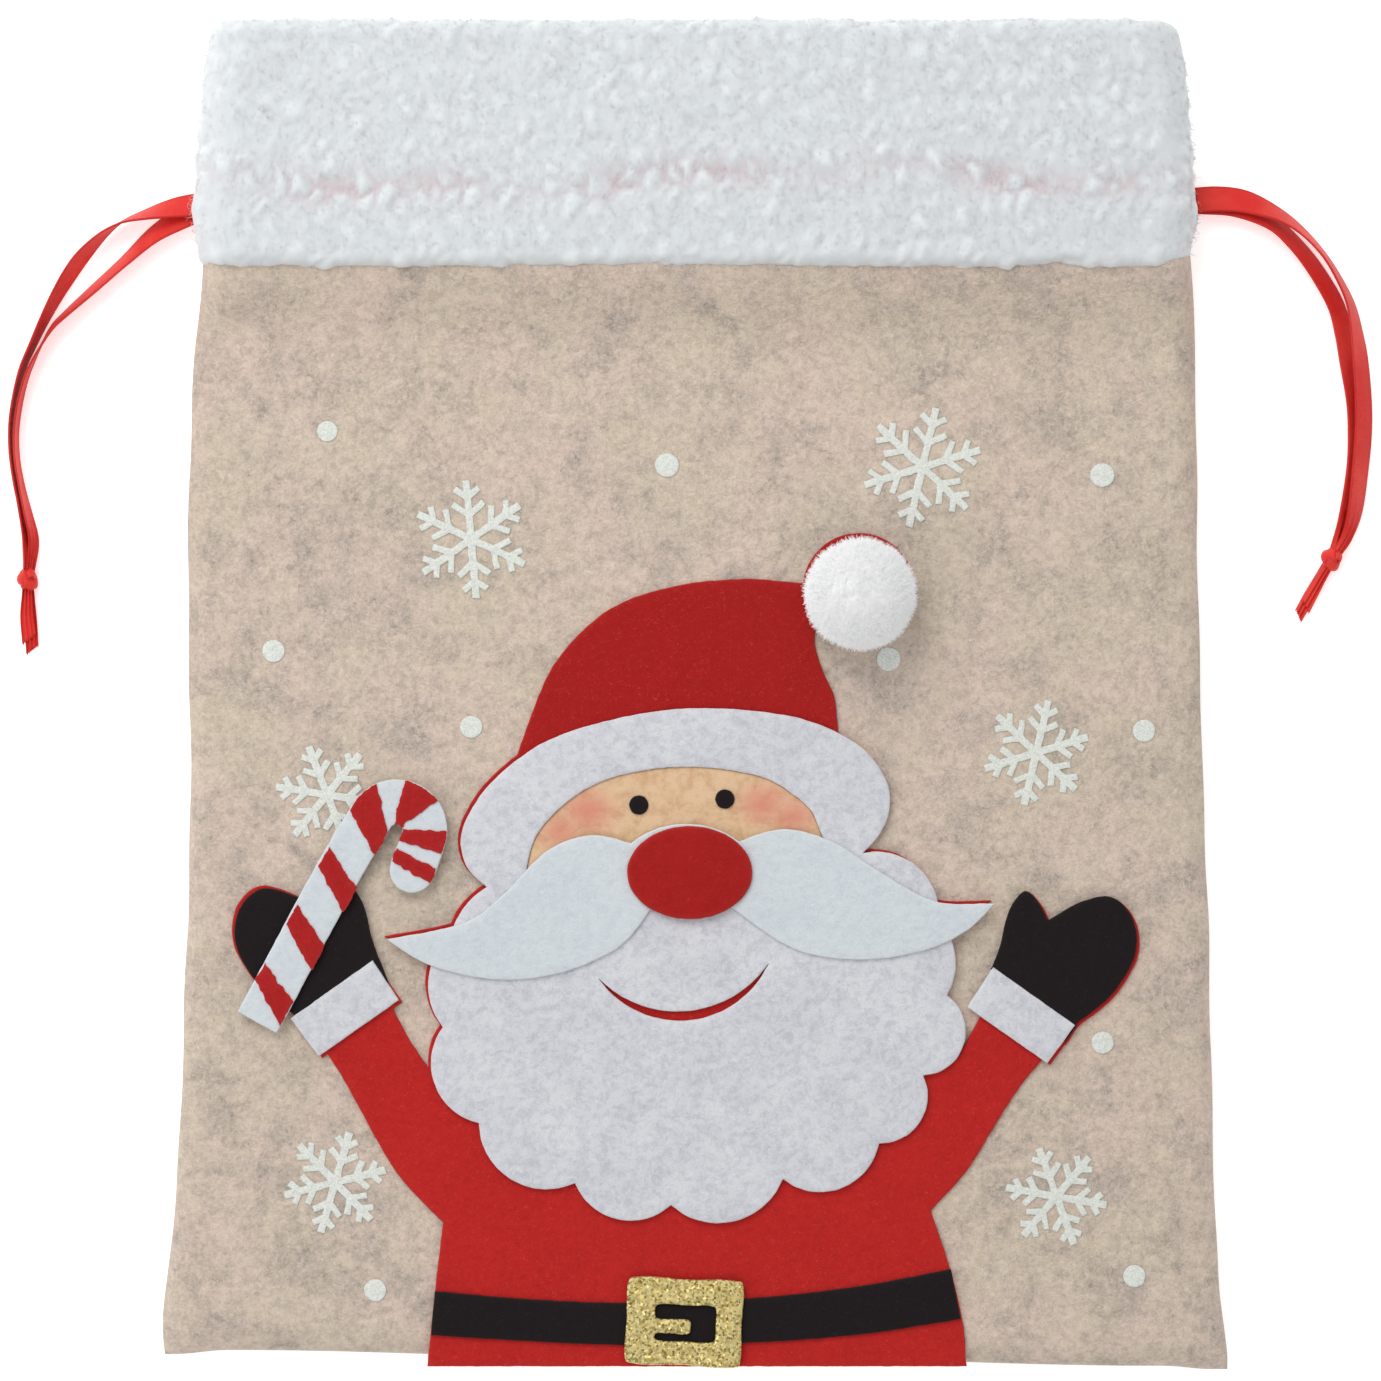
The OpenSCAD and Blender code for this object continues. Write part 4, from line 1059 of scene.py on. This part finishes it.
# x, y, z, turn and fold of each free strand, from the cuff outwards through its knot to its cut end
strands = {
    "ribbonLeftUpper": [
        [-124.5, 123.4, 5.1, 18, 1], [-129.5, 122.8, 4.9, 30, 1], [-134, 122.0, 4.7, 46, 1],
        [-138.5, 120.9, 4.5, 62, 1], [-144, 119.2, 4.3, 78, 1], [-149, 115.9, 4.0, 95, 1],
        [-154, 110.8, 3.7, 110, 1], [-157.4, 106.2, 3.5, 112, 1], [-160.8, 100.6, 3.4, 106, 1],
        [-164.1, 94.3, 3.3, 99, 1], [-167.0, 88.0, 3.3, 94, 1], [-169.5, 82.2, 3.3, 92, 1],
        [-171.2, 75.5, 3.3, 91, 1], [-172.2, 68.5, 3.3, 91, 1], [-172.2, 61.5, 3.3, 91, 1],
        [-171.2, 54.5, 3.3, 93, 1], [-169.6, 47.5, 3.3, 98, 1], [-168.5, 40.5, 3.1, 108, 0.8],
        [-168.3, 34.5, 2.9, 130, 0.45], [-168.6, 29.5, 2.7, 150, 0.35], [-168.6, 25.5, 2.2, 165, 0.4],
        [-168.7, 20, 1.6, 172, 0.52], [-168.1, 14, 1.3, 178, 0.58]],
    "ribbonLeftLower": [
        [-124.5, 122.2, 4.1, 12, 1], [-129, 120.3, 3.9, 22, 1], [-136.3, 116.0, 3.6, 44, 1],
        [-143.8, 109.3, 3.4, 60, 1], [-151.3, 102.6, 3.3, 64, 1], [-158.8, 95.9, 3.3, 70, 1],
        [-161.9, 92.8, 3.3, 73, 1], [-164.5, 88.6, 3.3, 79, 1], [-166.7, 84.4, 3.3, 85, 1],
        [-168.6, 79.8, 3.3, 88, 1], [-170.2, 73.5, 3.3, 90, 1], [-171.1, 66.5, 3.3, 90, 1],
        [-170.9, 59.5, 3.3, 91, 1], [-169.7, 52.5, 3.3, 93, 1], [-168.1, 45.5, 3.2, 98, 1],
        [-167.0, 39.5, 2.9, 108, 0.75], [-167.6, 33.5, 2.5, 130, 0.4], [-168.2, 29.5, 2.3, 150, 0.35],
        [-168.1, 25.0, 1.4, 165, 0.4], [-167.8, 18.5, 0.8, 176, 0.5], [-167.4, 11.4, 0.5, 182, 0.5]],
    "ribbonRightUpper": [
        [126, 124.5, 5.1, 0, 1], [132, 124.8, 5.0, -6, 1], [138.5, 124.1, 4.9, -22, 1],
        [146, 121.4, 4.5, -50, 1], [152, 117.6, 4.3, -64, 1], [157.4, 112.2, 4.1, -70, 1],
        [161.4, 106.4, 3.9, -69, 1], [165.2, 98.6, 3.6, -63, 1], [166.9, 90.5, 3.3, -52, 1],
        [167.8, 84, 3.1, -45, 1], [168.5, 74, 3.0, -41, 1], [168.5, 66, 3.0, -41, 1],
        [167.8, 57.4, 3.0, -43, 1], [166.6, 47, 3.0, -46, 0.95], [164.9, 40.5, 2.9, -44, 0.7],
        [162.4, 36.2, 2.8, -30, 0.42], [159.9, 32.4, 2.4, -24, 0.4], [157.2, 27.4, 1.7, -14, 0.45],
        [154.4, 22.2, 1.2, -8, 0.5]],
    "ribbonRightLower": [
        [126, 124.3, 4.1, 0, 1], [136, 123.4, 3.5, -20, 1], [145, 119.4, 3.1, -46, 1],
        [151, 114.2, 2.8, -48, 1], [156.4, 107.5, 2.6, -44, 1], [161.6, 98.6, 2.5, -41, 1],
        [163.6, 91, 2.45, -42, 1], [164.8, 84, 2.4, -42, 1], [166.5, 74, 2.4, -42, 1],
        [166.9, 66, 2.4, -42, 1], [166.6, 57.4, 2.35, -42, 1], [164.9, 47, 2.3, -44, 0.95],
        [163.2, 40.5, 2.2, -42, 0.7], [161.4, 35.6, 2.1, -24, 0.42], [158.8, 31.0, 1.5, -14, 0.4],
        [155.6, 25.2, 0.9, -8, 0.48], [152.6, 19.9, 0.7, -4, 0.45]],
}
ribbonRuns = {"ribbonLeftUpper": ("ribbon_left_upper", "ribbon_left"),
              "ribbonLeftLower": ("ribbon_left_lower", "ribbon_left"),
              "ribbonRightUpper": ("ribbon_right_upper", "ribbon_right"),
              "ribbonRightLower": ("ribbon_right_lower", "ribbon_right")}

knot = {"size": 0.52, "tall": 1.45, "band": 2.1, "bandThick": 0.72, "heart": (2.1, 2.8, 1.3)}


def knotLoop(name, centre, lean, body, node):
    # a pleated band along a trefoil, (sin t + 2 sin 2t, cos t - 2 cos 2t, -1.3 sin 3t), round a ball
    t = np.linspace(0, 2 * np.pi, 180, endpoint=False)
    q = np.stack([np.sin(t) + 2 * np.sin(2 * t), (np.cos(t) - 2 * np.cos(2 * t)) * knot["tall"],
                  -1.3 * np.sin(3 * t)], -1) * knot["size"]
    c, s = np.cos(lean), np.sin(lean)
    q = np.stack([q[:, 0] * c - q[:, 1] * s, q[:, 0] * s + q[:, 1] * c, q[:, 2]], -1)
    way = np.gradient(np.concatenate([q[-1:], q, q[:1]]), axis=0)[1:-1]
    way /= np.linalg.norm(way, axis=1)[:, None]
    outDir = q + [0, 0, 0.6]
    outDir = outDir / np.linalg.norm(outDir, axis=1)[:, None]
    across = np.cross(way, outDir)
    across /= np.linalg.norm(across, axis=1)[:, None]
    over = np.cross(way, across)
    k = np.linspace(0, 2 * np.pi, 22, endpoint=False)
    pleat = 1 + 0.3 * np.cos(5 * k)[None] * np.cos(2 * t)[:, None]
    ring = (q[:, None] + across[:, None] * (knot["band"] * np.cos(k))[None, :, None]
            + over[:, None] * (knot["bandThick"] * np.sin(k)[None] * pleat)[..., None])
    points = ring.reshape(-1, 3)
    a, b = np.meshgrid(np.linspace(0.03, np.pi - 0.03, 14), np.arange(20) * np.pi / 10, indexing="ij")
    heart = np.stack([np.sin(a) * np.cos(b), np.sin(a) * np.sin(b), np.cos(a)], -1)
    heart = (heart * knot["heart"]).reshape(-1, 3)
    points = np.concatenate([points, heart]) + centre
    points[:, 2] = np.maximum(points[:, 2], 0.05)
    uv = np.concatenate([np.stack([np.tile(0.5 + 0.5 * np.cos(k), 180),
                                   np.repeat(np.arange(180) * 0.15, 22)], -1),
                         np.stack([np.full(280, 0.5), np.arange(280) * 0.05], -1)])
    base = 180 * 22
    caps = [np.arange(20)[None] + base, np.arange(20)[None, ::-1] + base + 260]
    band, ball = gridFaces(180, 22, True, True), gridFaces(14, 20, wrapCols=True)[:, ::-1] + base
    obj = outwards(makeMesh(name, points, [band, ball] + caps, mats["satin"], uv))
    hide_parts(node)
    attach(obj, body)
    return obj


knots = {"ribbon_left": knotLoop("knotLeft", [-168.3, 29.4, 2.7], 0.1, "ribbon_left", "knot_left"),
         "ribbon_right": knotLoop("knotRight", [160.8, 34.4, 2.7], -0.4, "ribbon_right", "knot_right")}
for name, keys in strands.items():
    node, body = ribbonRuns[name]
    obj, p = ribbonStrip(name, keys, **ribbon)
    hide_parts(node)
    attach(obj, body)
for node in nodes:
    if node.endswith("_run"):
        nodes[node].data.materials.clear()
        nodes[node].data.materials.append(mats["satinInside"])

for node in ("seam_thread_left", "seam_thread_right", "seam_thread_bottom"):
    nodes[node].data.materials.clear()
    nodes[node].data.materials.append(mats["thread"])


room = {
    "floorSize": 10.0, "floorColour": (252, 252, 252), "floorGlow": 0.4, "worldStrength": 0.66,
    "keyPower": 6.6, "keyPlace": (-0.35, 0.75, 0.9), "keySize": 0.8,
    "fillPower": 2.2, "fillPlace": (-0.7, -0.35, 0.9), "fillSize": 0.9,
    "lens": 100, "sensor": 36, "frameWidth": 0.345, "cameraLift": 0.012,
    "cameraAside": (-0.0011, 0.0011),
}


def floor():
    h = room["floorSize"] * 500
    paper = Shader("floorPaper")
    paper.skin.inputs["Emission Color"].default_value = [1.0, 1.0, 1.0, 1.0]
    paper.skin.inputs["Emission Strength"].default_value = room["floorGlow"]
    matt = paper.finish(lin(*room["floorColour"]), rough=0.9, specular=0.1)
    corners = [[-h, -h, -0.05], [h, -h, -0.05], [h, h, -0.05], [-h, h, -0.05]]
    return makeMesh("floor", corners, np.array([[0, 1, 2, 3]]), matt, flat=True)


def areaLight(name, place, size, power):
    # a round soft light aimed at the middle of the sack
    data = bpy.data.lights.new(name, "AREA")
    data.shape = "DISK"
    data.size, data.energy = size, power
    obj = bpy.data.objects.new(name, data)
    obj.location = place
    obj.rotation_euler = (-Vector(place)).to_track_quat("-Z", "Y").to_euler()
    bpy.context.scene.collection.objects.link(obj)
    return obj


world = bpy.data.worlds.new("studio")
world.use_nodes = True
world.node_tree.nodes["Background"].inputs[0].default_value = [1.0, 1.0, 1.0, 1.0]
world.node_tree.nodes["Background"].inputs[1].default_value = room["worldStrength"]
bpy.context.scene.world = world
floor()
areaLight("keyLight", room["keyPlace"], room["keySize"], room["keyPower"])
areaLight("fillLight", room["fillPlace"], room["fillSize"], room["fillPower"])

cameraData = bpy.data.cameras.new("camera")
cameraData.lens, cameraData.sensor_width = room["lens"], room["sensor"]
camera = bpy.data.objects.new("camera", cameraData)
camera.location = (*room["cameraAside"],
                   room["frameWidth"] / room["sensor"] * room["lens"] + room["cameraLift"])
bpy.context.scene.collection.objects.link(camera)
bpy.context.scene.camera = camera
bpy.context.scene.view_settings.view_transform = "Standard"
